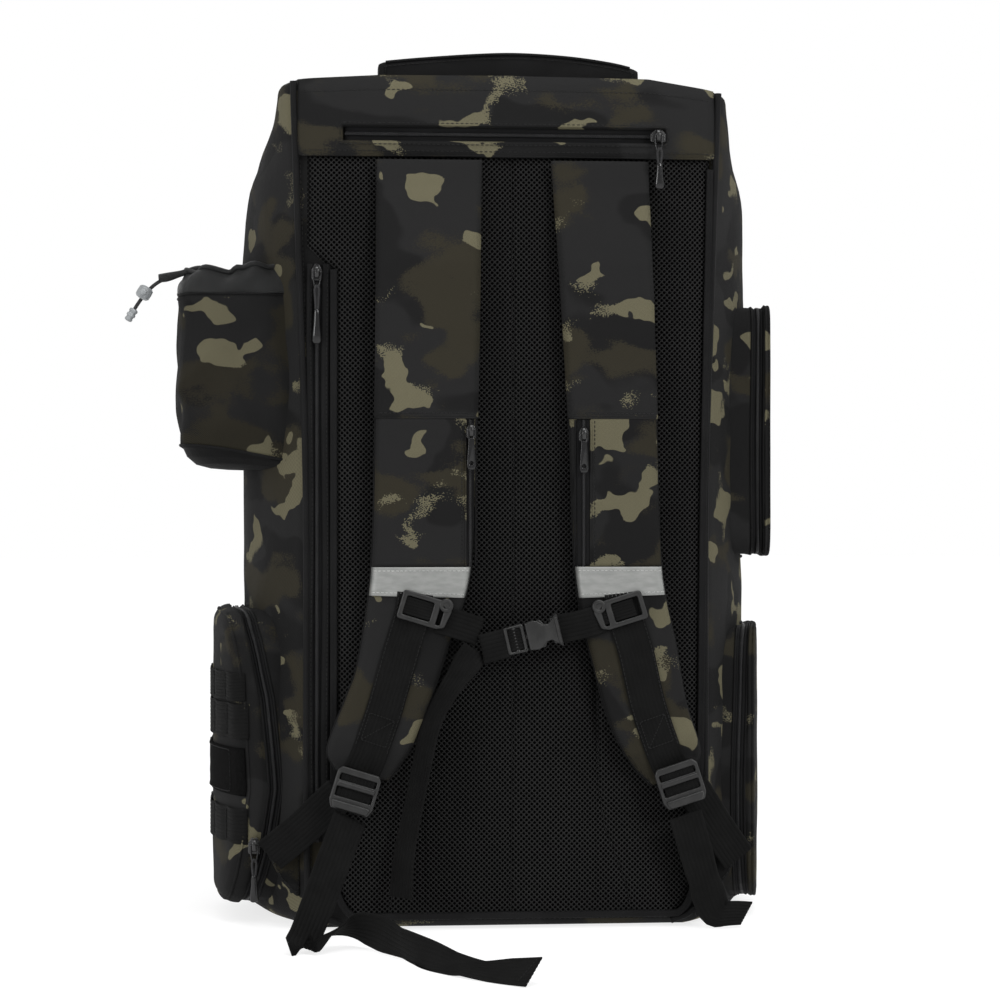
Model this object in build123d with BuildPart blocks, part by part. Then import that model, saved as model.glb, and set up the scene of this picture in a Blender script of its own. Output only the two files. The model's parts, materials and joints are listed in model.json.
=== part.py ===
"""Tackle backpack, as sewn panels, pockets, padded straps and moulded hardware.

Frame: +Z up, origin on the floor under the middle of the base. The wearer's side, with the mesh pad
and the shoulder straps, faces -Y. Lengths are in millimetres.
"""
import os
from math import cos, radians, sin, tan

from build123d import *

os.makedirs("parts", exist_ok=True)

# ---------------------------------------------------------------- driving dimensions
body_height = 592.0
wall = 3.0                      # padded shell panels
back_y = -105.0                 # outer face of the back panel
front_y = 95.0                  # outer face of the front panel
yoke_bottom = 541.5             # lower edge of the camouflage yoke above the mesh pad
pad_front_y = -115.0            # face of the air-mesh pad
webbing = 25.0                  # wide webbing on the shoulder straps
sternum_webbing = 20.0          # narrow webbing across the chest
webbing_thick = 1.6
gap = 0.4                       # clearance between neighbouring bodies

# one row per height: z, half widths at the back edge, at mid depth and at the front flat
body_levels = [
    (0.0, 138.0, 174.0, 128.0),
    (40.0, 141.0, 181.0, 130.0),
    (300.0, 142.0, 183.0, 130.0),
    (500.0, 146.0, 182.0, 130.0),
    (545.0, 149.0, 172.0, 126.0),
    (body_height, 151.0, 155.0, 120.0),
]

# layers of one shoulder strap, measured outwards from the mesh pad
strap_back_y = -118.5
strap_front_y = -129.5
strap_top = 537.0
strap_thin_y = -120.4           # face of the thin top, where the strap enters the yoke seam
strap_full = 466.0              # below this height the strap has its full thickness
strap_layer_y = strap_front_y - 0.3


def save(builder, name):
    """Label one finished piece and write it."""
    builder.part.label = name
    export_step(builder.part, f"parts/{name}.step")


def block(low, high, mode=Mode.ADD):
    """Axis-aligned block between two corners, in the current builder."""
    centre = [(a + b) / 2 for a, b in zip(low, high)]
    with Locations(tuple(centre)):
        return Box(*[b - a for a, b in zip(low, high)], mode=mode)


def rounded_tub(low, high, open_side, upright_radius, bottom_radius):
    """Solid block whose uprights on one side, and the bottom edge under them, are rounded."""
    axis, end = open_side
    with BuildPart() as tub:
        block(low, high)
        fillet(tub.edges().filter_by(Axis.Z).group_by(axis)[end], upright_radius)
        fillet(tub.faces().sort_by(Axis.Z)[0].edges().sort_by(axis)[end], bottom_radius)
    return tub.part


def facing_wearer(y):
    """Sketch plane at depth y: sketch x is +X, sketch y is +Z, and it extrudes towards -Y."""
    return Plane.XZ.offset(-y)


def tilted_plane(centre, tilt):
    """Plane facing the wearer whose x axis climbs by tilt degrees to the right."""
    across = (cos(radians(tilt)), 0, sin(radians(tilt)))
    return Plane(origin=centre, x_dir=across, z_dir=(0, -1, 0))


def body_section(level, grow=0.0):
    """Plan outline at one height: flat back, bulging sides and round front corners."""
    z, back_half, mid_half, front_half = level
    b = back_half + grow
    m = mid_half + grow
    rear = back_y - grow
    front = front_y + grow
    with BuildSketch(Plane.XY.offset(z)) as section:
        with BuildLine():
            Line((-b, rear), (b, rear))
            Spline((b, rear), (m, -20), (m - 6, 42), (front_half, front), tangents=((0.6, 0.8), (-1, 0)))
            Line((front_half, front), (-front_half, front))
            Spline((-front_half, front), (6 - m, 42), (-m, -20), (-b, rear), tangents=((-1, 0), (0.6, -0.8)))
        make_face()
    return section.sketch


def body_volume(grow):
    """The whole bag as one closed volume, used to cut panels and to clear pockets."""
    with BuildPart() as volume:
        loft([body_section(level, grow) for level in body_levels])
    return volume.part


body_outer = body_volume(0.0)
body_inner = body_volume(-wall)
body_clearance = body_volume(gap)


def shell_piece(low, high):
    """The part of the padded shell that lies inside one box."""
    with BuildPart() as piece:
        add(body_outer)
        add(body_inner, mode=Mode.SUBTRACT)
        block(low, high, mode=Mode.INTERSECT)
    return piece


# ---------------------------------------------------------------- shell panels
reach = 220.0
shell_low = wall
shell_high = body_height - wall
rear_inner = back_y + wall
front_inner = front_y - wall

with BuildPart() as base_panel:
    add(body_outer)
    block((-reach, -reach, 0), (reach, reach, wall), mode=Mode.INTERSECT)
save(base_panel, "base_panel")

with BuildPart() as top_panel:
    add(body_outer)
    block((-reach, -reach, shell_high), (reach, reach, body_height), mode=Mode.INTERSECT)
save(top_panel, "top_panel")

for side, sign in (("left", -1), ("right", 1)):
    near, far = sorted((0, sign * reach))
    side_panel = shell_piece((near, rear_inner, shell_low), (far, front_inner, shell_high))
    save(side_panel, f"side_panel_{side}")

back_panel = shell_piece((-reach, back_y - 5, shell_low), (reach, rear_inner, shell_high))
save(back_panel, "back_panel")

# the zipped door in the front panel, with the frame that is left around it
door_half = 118.0
door_bottom = 40.0
door_top = 545.0
door_round = 30.0
door_z = (door_bottom + door_top) / 2


def door_outline(grow):
    """Rounded upright outline of the front door, grown all round."""
    RectangleRounded(2 * (door_half + grow), door_top - door_bottom + 2 * grow, door_round + grow)


with BuildPart() as front_frame:
    add(shell_piece((-reach, front_inner, shell_low), (reach, front_y + 5, shell_high)).part)
    with BuildSketch(facing_wearer(front_y + 5)):
        with Locations((0, door_z)):
            door_outline(0.8)
    extrude(amount=20, mode=Mode.SUBTRACT)
save(front_frame, "front_frame")

with BuildPart() as front_door:
    with BuildSketch(facing_wearer(front_y)):
        with Locations((0, door_z)):
            door_outline(0)
    extrude(amount=wall)
save(front_door, "front_door")

# bellows pocket on the door, open along its top under a zip slit
front_pocket_depth = 42.0
front_side = (Axis.Y, -1)
pocket_face = front_y + front_pocket_depth
with BuildPart() as front_pocket:
    add(rounded_tub((-98, front_y + gap, 75), (98, pocket_face, 300), front_side, 16, 12))
    add(rounded_tub((-95, front_y + 3, 78), (95, pocket_face - 3, 297), front_side, 13, 9), mode=Mode.SUBTRACT)
    block((-80, front_y + 12, 290), (80, front_y + 24, 310), mode=Mode.SUBTRACT)
save(front_pocket, "front_pocket")

# padded shelf between the main compartment and the tackle-tray compartment below it
shelf_z = 232.0
with BuildPart() as divider_shelf:
    add(body_volume(-wall - gap))
    block((-reach, -98, shelf_z), (reach, 88, shelf_z + 6), mode=Mode.INTERSECT)
save(divider_shelf, "divider_shelf")

# ---------------------------------------------------------------- wearer's side
side_zip_x = -133.5
side_zip_top = 468.0
side_zip_bottom = 62.0
flap_edge = -121.0

with BuildPart() as mesh_back_pad:
    with BuildSketch(facing_wearer(back_y - gap)) as outline:
        with BuildLine():
            Polyline(
                (-104, 8), (106, 8), (130, 30), (135, 120), (137, 300), (143, yoke_bottom - gap),
                (-143, yoke_bottom - gap), (-140, side_zip_top + 4), (flap_edge, side_zip_top - 4),
                (flap_edge, 30), close=True,
            )
        make_face()
        corners = outline.vertices().sort_by(Axis.Z)[0:2]
        fillet(corners, 12)
    extrude(amount=back_y - gap - pad_front_y)
save(mesh_back_pad, "mesh_back_pad")

# yoke with the window of the document-pocket zip
yoke_zip_z = 557.0
yoke_zip_left = -115.0
yoke_zip_right = 111.0
yoke_window = 9.5
yoke_front_y = -113.0
with BuildPart() as yoke_panel:
    with BuildSketch(facing_wearer(back_y - gap)):
        with BuildLine():
            Polyline(
                (-143.5, yoke_bottom), (143.5, yoke_bottom), (146, body_height - 1),
                (-146, body_height - 1), close=True,
            )
        make_face()
        with Locations(((yoke_zip_left + yoke_zip_right) / 2, yoke_zip_z)):
            SlotOverall(yoke_zip_right - yoke_zip_left, yoke_window, mode=Mode.SUBTRACT)
    extrude(amount=back_y - gap - yoke_front_y)
save(yoke_panel, "yoke_panel")

tape_thick = 1.2
side_tape_width = 13.5
side_tape_middle = flap_edge - 1.5 - side_tape_width / 2
with BuildPart() as zip_tapes:
    with BuildSketch(facing_wearer(back_y - gap)):
        with Locations(((yoke_zip_left + yoke_zip_right) / 2, yoke_zip_z)):
            SlotOverall(yoke_zip_right - yoke_zip_left - 2, yoke_window - 1)
        with Locations((side_tape_middle, (side_zip_top + side_zip_bottom) / 2)):
            Rectangle(side_tape_width, side_zip_top - side_zip_bottom - 10)
    extrude(amount=tape_thick)
save(zip_tapes, "zip_tapes")

# welted piping down both back edges
piping_radius = 2.3
with BuildPart() as piping:
    for sign in (-1, 1):
        with BuildLine() as run:
            FilletPolyline(
                (sign * 118, back_y - 2.8, 7), (sign * 139.5, back_y - 2.8, 30),
                (sign * 141, back_y - 2.8, 300), (sign * 150, back_y - 2.8, body_height - 1),
                radius=20,
            )
        with BuildSketch(Plane(origin=run.line @ 0, z_dir=run.line % 0)):
            Circle(piping_radius)
        sweep(path=run.line)
save(piping, "piping")

# padded carry handle over the top seam
handle_half = 87.0
handle_y = -72.0
handle_rise = 27.0
handle_thick = 15.0
with BuildPart() as top_handle:
    with BuildSketch(facing_wearer(handle_y + 15)):
        top = body_height + handle_rise
        foot = body_height + gap
        with BuildLine():
            crest = ThreePointArc((-handle_half + 5, top - 6), (0, top), (handle_half - 5, top - 7))
            Line(crest @ 1, (handle_half, foot))
            Line((handle_half, foot), (handle_half - 15, foot))
            Line((handle_half - 15, foot), (handle_half - 22, top - handle_thick - 5))
            soffit = ThreePointArc((handle_half - 22, top - handle_thick - 5), (0, top - handle_thick),
                                   (22 - handle_half, top - handle_thick - 4))
            Line(soffit @ 1, (15 - handle_half, foot))
            Line((15 - handle_half, foot), (-handle_half, foot))
            Line((-handle_half, foot), crest @ 0)
        make_face()
    extrude(amount=30)
save(top_handle, "top_handle")

# ---------------------------------------------------------------- side pockets


def side_pocket(sign, outer_x, rear, front, bottom, top, corner):
    """Closed outer form of a side pocket and the hollow inside it, clear of the bag's side."""
    root_x = sign * 120.0
    out = sign * outer_x
    low_x, high_x = sorted((root_x, out))
    with BuildPart() as outside:
        with BuildSketch(Plane.YZ.offset(root_x)):
            with Locations(((rear + front) / 2, (bottom + top) / 2)):
                RectangleRounded(front - rear, top - bottom, corner)
        extrude(amount=out - root_x)
        end = outside.faces().filter_by(Axis.X).sort_by(Axis.X)[0 if sign < 0 else -1]
        fillet(end.edges(), 13)
        add(body_clearance, mode=Mode.SUBTRACT)
    with BuildPart() as inside:
        with BuildSketch(Plane.YZ.offset(root_x)):
            with Locations(((rear + front) / 2, (bottom + top) / 2)):
                RectangleRounded(front - rear - 2 * wall, top - bottom - 2 * wall, corner - wall)
        extrude(amount=out - root_x - sign * wall)
        end = inside.faces().filter_by(Axis.X).sort_by(Axis.X)[0 if sign < 0 else -1]
        fillet(end.edges(), 10)
    return outside.part, inside.part


# name, side, outer face, rear, front, bottom, top, corner radius, split between pocket and lid
zipped_pockets = [
    ("lower_left", -1, 208.0, -80.0, 58.0, 12.0, 224.0, 34.0, 190.0),
    ("lower_right", 1, 200.0, -80.0, 58.0, 12.0, 210.0, 34.0, 187.0),
    ("upper_right", 1, 203.0, -66.0, 54.0, 260.0, 443.0, 20.0, 190.0),
]
for name, sign, outer_x, rear, front, bottom, top, corner, split_x in zipped_pockets:
    outside, inside = side_pocket(sign, outer_x, rear, front, bottom, top, corner)
    inner_x, lid_x = sign * (split_x - 0.3), sign * (split_x + 0.3)
    with BuildPart() as pocket:
        add(outside)
        add(inside, mode=Mode.SUBTRACT)
        near, far = sorted((0, inner_x))
        block((near, -reach, -10), (far, reach, 600), mode=Mode.INTERSECT)
    save(pocket, f"{name}_pocket")
    with BuildPart() as lid:
        add(outside)
        add(inside, mode=Mode.SUBTRACT)
        near, far = sorted((lid_x, sign * 260))
        block((near, -reach, -10), (far, reach, 600), mode=Mode.INTERSECT)
    save(lid, f"{name}_lid")

# webbing rows and the hook-and-loop field on the lower left lid
lid_face_x = -208.0
row_rear, row_front = -62.0, 40.0
with BuildPart() as lid_webbing_rows:
    for bottom, top in ((56, 84), (132, 157), (160, 178)):
        block((lid_face_x - gap - webbing_thick, row_rear, bottom), (lid_face_x - gap, row_front, top))
save(lid_webbing_rows, "lid_webbing_rows")

with BuildPart() as loop_patch:
    block((lid_face_x - gap - 2, row_rear, 90), (lid_face_x - gap, row_front, 126))
save(loop_patch, "loop_patch")

# drawstring bottle pocket: camouflage tub with a gathered nylon collar
tub_rear, tub_front, tub_bottom, tub_top = -92.0, 4.0, 322.0, 446.0
outer_side = (Axis.X, 0)
with BuildPart() as drawstring_pocket:
    add(rounded_tub((-236, tub_rear, tub_bottom), (-120, tub_front, tub_top), outer_side, 24, 14))
    add(rounded_tub((-233, tub_rear + 3, tub_bottom + 3), (-119, tub_front - 3, tub_top + 10),
                    outer_side, 21, 11), mode=Mode.SUBTRACT)
    add(body_clearance, mode=Mode.SUBTRACT)
save(drawstring_pocket, "drawstring_pocket")

with BuildPart() as drawstring_collar:
    add(rounded_tub((-235, tub_rear + 1, tub_top + gap), (-120, tub_front - 1, tub_top + 20),
                    outer_side, 22, 2))
    add(rounded_tub((-227, tub_rear + 9, tub_top - 20), (-119, tub_front - 9, tub_top + 30),
                    outer_side, 14, 2), mode=Mode.SUBTRACT)
    add(body_clearance, mode=Mode.SUBTRACT)
save(drawstring_collar, "drawstring_collar")

# the drawcord leaves the collar, passes its lock and ends in a moulded tip
cord_y = -66.0
cord_radius = 1.3
cord_route = [(-235.4, cord_y, 459.0), (-249.0, cord_y, 458.0), (-262.0, cord_y, 436.0)]


def corner_radii(points):
    """Largest arcs that a route's runs allow, one for each inner corner."""
    radii = []
    for before, corner, after in zip(points, points[1:], points[2:]):
        first = Vector(*corner) - Vector(*before)
        second = Vector(*after) - Vector(*corner)
        turn = first.get_angle(second)
        radii.append(0.45 * min(first.length, second.length) / tan(radians(turn / 2)))
    return radii


print("drawcord radii", [round(radius, 1) for radius in corner_radii(cord_route)])
with BuildPart() as drawcord:
    with BuildLine() as route:
        FilletPolyline(*cord_route, radius=corner_radii(cord_route))
    with BuildSketch(Plane(origin=route.line @ 0, z_dir=route.line % 0)):
        Circle(cord_radius)
    sweep(path=route.line)
save(drawcord, "drawcord")

cord_corner = Vector(*cord_route[1])
cord_tip = Vector(*cord_route[2])
cord_down = (cord_tip - cord_corner).normalized()
lock_plane = Plane(origin=cord_corner + cord_down * 7.2, x_dir=(0, -1, 0), z_dir=cord_down)
with BuildPart() as cord_lock_body:
    with BuildSketch(lock_plane):
        Ellipse(6.0, 5.0)
    extrude(amount=9)
    with BuildSketch(lock_plane):
        Circle(cord_radius + 0.35)
    extrude(amount=9, mode=Mode.SUBTRACT)
    with BuildSketch(Plane(origin=cord_corner + cord_down * 11.7, x_dir=cord_down, z_dir=(0, -1, 0))):
        Rectangle(4.4, 4.4)
    extrude(amount=10, mode=Mode.SUBTRACT)
save(cord_lock_body, "cord_lock_body")

button_plane = Plane(origin=cord_corner + cord_down * 11.7 + Vector(0, -3.4, 0), x_dir=cord_down, z_dir=(0, -1, 0))
with BuildPart() as cord_lock_button:
    with BuildSketch(button_plane):
        Rectangle(3.8, 3.8)
    extrude(amount=6.4)
save(cord_lock_button, "cord_lock_button")

tip_plane = Plane(origin=cord_tip + cord_down * 0.02, x_dir=(0, -1, 0), z_dir=cord_down)
with BuildPart() as cord_end:
    with BuildSketch(tip_plane):
        RectangleRounded(9, 7, 2)
    extrude(amount=9, taper=8)
save(cord_end, "cord_end")

# ---------------------------------------------------------------- shoulder straps
strap_outer = {
    "left": [(-91, strap_top), (-93, 360), (-96, 254), (-105, 190), (-113, 165), (-126, 130), (-121, 114)],
    "right": [(97, strap_top), (103, 360), (107, 254), (117, 200), (124, 160), (134, 128), (132, 116)],
}
strap_inner = {
    "left": [(-84, 106), (-68, 130), (-55, 162), (-42, 202), (-27, 254), (-23, 360), (-20, strap_top)],
    "right": [(101, 101), (86, 117), (72, 142), (62, 175), (47, 245), (42, 360), (31, strap_top)],
}
strap_middle = {
    "left": [(-67, 228), (-76, 195), (-86, 160), (-97, 127), (-103, 112)],
    "right": [(79, 228), (88, 195), (96, 160), (107, 127), (115, 110)],
}
pocket_top = 358.0
pocket_bottom = 255.5
band_top = 254.5
band_bottom = 234.5
zip_edge = {"left": -31.0, "right": 56.5}
for side in ("left", "right"):
    with BuildPart() as strap_pad:
        with BuildSketch(facing_wearer(strap_back_y)):
            with BuildLine():
                outer = Spline(*strap_outer[side])
                inner = Spline(*strap_inner[side])
                Line(outer @ 1, inner @ 0)
                Line(inner @ 1, outer @ 0)
            make_face()
        extrude(amount=strap_back_y - strap_front_y)
        with BuildSketch(Plane.YZ.offset(-150)):
            with BuildLine():
                Polyline((strap_front_y - 1, strap_full), (strap_thin_y - 0.6, strap_top - 20),
                         (strap_thin_y, strap_top + 5), (strap_front_y - 1, strap_top + 5), close=True)
            make_face()
        extrude(amount=300, mode=Mode.SUBTRACT)
    save(strap_pad, f"strap_pad_{side}")

    sign = -1 if side == "left" else 1
    outer_x = {"left": (-94.5, -91.5), "right": (104.5, 102)}[side]
    with BuildPart() as strap_pocket:
        with BuildSketch(facing_wearer(strap_layer_y)):
            with BuildLine():
                Polyline((outer_x[0], pocket_bottom), (outer_x[1], pocket_top),
                         (zip_edge[side], pocket_top), (zip_edge[side], pocket_bottom), close=True)
            make_face()
        extrude(amount=2)
    save(strap_pocket, f"strap_pocket_{side}")

with BuildPart() as reflective_bands:
    for corners in (((-97, 236), (-95, 254.3), (-26.8, 254.3), (-30.2, 233.5)),
                    ((108, 234), (106.5, 254.3), (47.5, 254.3), (50, 234))):
        with BuildSketch(facing_wearer(strap_layer_y)):
            with BuildLine():
                Polyline(*corners, close=True)
            make_face()
        extrude(amount=0.8)
save(reflective_bands, "reflective_bands")


def ribbon_outline(points, width):
    """Both long edges of a flat ribbon whose middle follows the points."""
    left, right = [], []
    last = len(points) - 1
    for index, (x, z) in enumerate(points):
        x0, z0 = points[max(index - 1, 0)]
        x1, z1 = points[min(index + 1, last)]
        length = ((x1 - x0) ** 2 + (z1 - z0) ** 2) ** 0.5
        across = ((z1 - z0) / length * width / 2, -(x1 - x0) / length * width / 2)
        left.append((x + across[0], z + across[1]))
        right.append((x - across[0], z - across[1]))
    return left + right[::-1]


with BuildPart() as strap_webbings:
    for side in ("left", "right"):
        with BuildSketch(facing_wearer(strap_layer_y)):
            with BuildLine():
                Polyline(*ribbon_outline(strap_middle[side], webbing), close=True)
            make_face()
        extrude(amount=webbing_thick)
save(strap_webbings, "strap_webbings")

# ladder locks at the strap ends
lock_frame = {"left": tilted_plane((-107.5, -132.2, 101.0), -17), "right": tilted_plane((118.5, -132.2, 104.0), 18)}
lock_width = 31.0
lock_height = 27.0
for side in ("left", "right"):
    with BuildPart() as ladder_lock:
        with BuildSketch(lock_frame[side]):
            RectangleRounded(lock_width, lock_height, 3)
            for offset_v in (4.2, -5.0):
                with Locations((0, offset_v)):
                    Rectangle(webbing + 0.8, 6.0, mode=Mode.SUBTRACT)
        extrude(amount=4.5)
        with BuildSketch(lock_frame[side].offset(4.5)):
            with Locations((0, -11.5)):
                Rectangle(lock_width - 6, 4)
        extrude(amount=1.6)
    save(ladder_lock, f"ladder_lock_{side}")

# anchor webbing from the lower corners of the bag up to the ladder locks, and the tabs that hold it
anchor_low = {"left": (-162, -103.5, 56), "right": (162, -103.5, 51)}
anchor_high = {"left": (-124, -124.5, 93), "right": (133, -124.5, 94)}
with BuildPart() as anchor_webbings:
    for side in ("left", "right"):
        low = Vector(*anchor_low[side])
        high = Vector(*anchor_high[side])
        along = (high - low).normalized()
        normal = along.cross(Vector(0, 0, 1)).normalized()
        if normal.Y > 0:
            normal = -normal
        with BuildSketch(Plane(origin=(low + high) * 0.5, x_dir=along, z_dir=normal)):
            Rectangle((high - low).length, webbing)
        extrude(amount=webbing_thick)
save(anchor_webbings, "anchor_webbings")

with BuildPart() as anchor_tabs:
    for sign in (-1, 1):
        with BuildSketch(facing_wearer(-97.0)):
            with BuildLine():
                Polyline((sign * 149.5, 66), (sign * 149.5, 24), (sign * 167, 56), close=True)
            make_face()
        extrude(amount=2.4)
save(anchor_tabs, "anchor_tabs")

# ---------------------------------------------------------------- loose webbing tails


def flat_run(start, end, width, thick, across):
    """One straight stretch of webbing between two points, its width along the given direction."""
    first, last = Vector(*start), Vector(*end)
    along = (last - first).normalized()
    normal = along.cross(Vector(*across)).normalized()
    with BuildPart() as run:
        with BuildSketch(Plane(origin=first - along * 0.6, x_dir=normal, z_dir=along)):
            Rectangle(thick, width)
        extrude(amount=(last - first).length + 1.2)
    return run.part


tail_runs = {
    "left": [((-111, -135, 82), (-144, -201, 9), (0.92, 0.2, -0.3)),
             ((-147, -208, 4), (-112, -182, 12), (0.6, -0.75, 0)),
             ((-112, -182, 12), (-85, -216, 8), (0.75, 0.6, 0)),
             ((-85, -216, 8), (-48, -284, 3.4), (0.88, 0.45, 0)),
             ((-48, -284, 3.4), (-4, -336, 3.4), (0.76, 0.64, 0))],
    "right": [((122, -136, 82), (142, -126, 14), (1, 0, 0.2)),
              ((142, -126, 12), (168, -119, 12), (0, 0.9, 0.4))],
}
for side in ("left", "right"):
    with BuildPart() as strap_tail:
        for start, end, across in tail_runs[side]:
            add(flat_run(start, end, webbing - 2, webbing_thick, across))
    save(strap_tail, f"strap_tail_{side}")

# ---------------------------------------------------------------- sternum strap
slider_frame = {"left": tilted_plane((-60.5, -132.4, 225.0), -17), "right": tilted_plane((77.5, -132.4, 224.0), 17)}
for side in ("left", "right"):
    inward = 1 if side == "left" else -1
    with BuildPart() as sternum_slider:
        with BuildSketch(slider_frame[side]):
            RectangleRounded(33, 20, 3)
            with Locations((-inward * 3.5, 0)):
                RectangleRounded(20, 14, 1.5, mode=Mode.SUBTRACT)
            with Locations((inward * 12.4, 0)):
                RectangleRounded(3.4, 13, 1, mode=Mode.SUBTRACT)
        extrude(amount=3.6)
    save(sternum_slider, f"sternum_slider_{side}")

buckle_centre = (15.6, -134.6, 207.0)
buckle_tilt = 13.0
buckle = tilted_plane(buckle_centre, buckle_tilt)
half_height = 10.0
half_thick = 3.5
housing_start = -4.5
housing_end = 18.8

with BuildPart() as buckle_female:
    with BuildSketch(buckle.offset(-half_thick)):
        with Locations(((housing_start + housing_end) / 2, 0)):
            RectangleRounded(housing_end - housing_start, 2 * half_height, 2)
    extrude(amount=2 * half_thick)
    with BuildSketch(buckle.offset(-2.2)):
        with Locations((housing_start + 7.5, 0)):
            Rectangle(16, 2 * half_height + 2)
    extrude(amount=4.4, mode=Mode.SUBTRACT)
    with BuildSketch(buckle.offset(-half_thick)):
        with Locations((14.8, 0)):
            Rectangle(2.6, 2 * half_height - 4.5)
    extrude(amount=2 * half_thick, mode=Mode.SUBTRACT)
save(buckle_female, "buckle_female")

with BuildPart() as buckle_male:
    with BuildSketch(buckle.offset(-half_thick)):
        with Locations((-12.3, 0)):
            RectangleRounded(14.4, 2 * half_height, 1.5)
        for bar_u in (-15.6, -9.8):
            with Locations((bar_u, 0)):
                Rectangle(3.2, 2 * half_height - 4.5, mode=Mode.SUBTRACT)
    extrude(amount=2 * half_thick)
    with BuildSketch(buckle.offset(-1.6)):
        with Locations((2.0, 0)):
            Rectangle(15.4, 3.0)
    extrude(amount=3.2)
save(buckle_male, "buckle_male")

for place, sign in (("upper", 1), ("lower", -1)):
    with BuildPart() as prong:
        with BuildSketch(buckle.offset(-1.8)):
            with BuildLine():
                Polyline((-4.6, sign * 3.6), (9.0, sign * 3.6), (9.0, sign * 6.0), (6.6, sign * 9.6),
                         (1.4, sign * 8.2), (-1.0, sign * 6.0), (-4.6, sign * 6.0), close=True)
            make_face()
        extrude(amount=3.6)
    save(prong, f"buckle_prong_{place}")

fold_plane = buckle.offset(-0.8)
with BuildPart() as sternum_fold:
    with BuildSketch(fold_plane):
        with Locations((-28.2, 0)):
            Rectangle(16.4, sternum_webbing)
    extrude(amount=3.6)
save(sternum_fold, "sternum_fold")

with BuildPart() as sternum_webbing_left:
    with BuildSketch(tilted_plane((-33.5, -131.2, 214.3), -12)):
        Rectangle(19, sternum_webbing)
    extrude(amount=webbing_thick)
save(sternum_webbing_left, "sternum_webbing_left")

with BuildPart() as sternum_webbing_right:
    with BuildSketch(tilted_plane((46.2, -133.6, 213.6), 10)):
        Rectangle(21.5, sternum_webbing)
    extrude(amount=webbing_thick)
save(sternum_webbing_right, "sternum_webbing_right")

sternum_tail_middle = [(-24, 196), (-44, 168), (-56, 148), (-61, 119), (-68, 85), (-75, 52), (-76, 26)]
with BuildPart() as sternum_tail:
    with BuildSketch(facing_wearer(-131.9)):
        with BuildLine():
            Polyline(*ribbon_outline(sternum_tail_middle, 14), close=True)
        make_face()
    extrude(amount=webbing_thick)
save(sternum_tail, "sternum_tail")

# ---------------------------------------------------------------- zip sliders and pulls


def zip_slider(plane, half_across, half_along):
    """Slider body with a bridge; the pull's crossbar runs through the bridge along plane x."""
    with BuildPart() as slider:
        with BuildSketch(plane):
            RectangleRounded(2 * half_across, 2 * half_along, 1.5)
        extrude(amount=3.2)
        with BuildSketch(plane.offset(3.2)):
            Rectangle(3.6, 8.4)
        extrude(amount=3.0)
        with BuildSketch(plane.offset(3.3)):
            Rectangle(4.0, 3.6)
        extrude(amount=1.9, mode=Mode.SUBTRACT)
    return slider


def zip_pull(plane, half_across, length, stand_off):
    """Wire loop through the slider's bridge with a flat tab hanging from it, stood off outwards."""
    wire = 0.6
    level = 4.25
    leg_u = half_across + 1.2
    loop_v = -9.0
    with BuildPart() as pull:
        for v in (0.0, loop_v):
            start = plane.from_local_coords(Vector(-leg_u, v, level))
            with BuildSketch(Plane(origin=start, z_dir=plane.x_dir)):
                Circle(wire)
            extrude(amount=2 * leg_u)
        for u in (-leg_u, leg_u):
            with BuildSketch(plane.offset(level - wire - 0.1)):
                with Locations((u, loop_v / 2)):
                    Rectangle(2 * wire + 0.2, 2 * wire + 0.2 - loop_v)
            extrude(amount=2 * wire + 0.2)
        with BuildSketch(plane.offset(level - 0.8)):
            with Locations((0, loop_v)):
                Rectangle(6.2, 2.2)
        extrude(amount=stand_off + 1.6)
        with BuildSketch(plane.offset(level - 0.8 + stand_off)):
            with Locations((0, (loop_v + 1.1 - length) / 2)):
                RectangleRounded(6.2, length + loop_v + 1.1, 1.0)
            with Locations((0, -length + 3.6)):
                Circle(1.3, mode=Mode.SUBTRACT)
        extrude(amount=1.6)
    return pull


# name, slider centre on its tape, half size across and along the crossbar, pull length and stand-off
zips = [
    ("yoke", (106.0, yoke_front_y - gap, yoke_zip_z), 6.0, 4.4, 38.0, 4.6),
    ("side", (side_zip_x, back_y - gap - 1.9, side_zip_top - 8), 3.2, 6.0, 50.0, 0.3),
    ("strap_left", (-27.2, strap_layer_y - 0.3, 349.0), 3.2, 5.5, 27.0, 0.0),
    ("strap_right", (51.3, strap_layer_y - 0.3, 347.0), 3.2, 5.5, 27.0, 0.0),
    ("lower_left", (-177.0, -80.0 - gap, 57.0), 4.4, 6.0, 40.0, 0.0),
]
for name, centre, half_across, half_along, length, stand_off in zips:
    plane = tilted_plane(centre, 0)
    save(zip_slider(plane, half_across, half_along), f"{name}_zip_slider")
    save(zip_pull(plane, half_across, length, stand_off), f"{name}_zip_pull")
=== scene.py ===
"""Looks of the tackle backpack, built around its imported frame.

Points and sizes are in millimetres on the frame's axes, and become metres when a mesh is made.
The wearer's side faces -Y. A look is a pair: a material and the record's slot that it stands for.
"""
import json
import math

import bmesh
import bpy
import numpy as np
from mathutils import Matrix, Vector, noise

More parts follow.
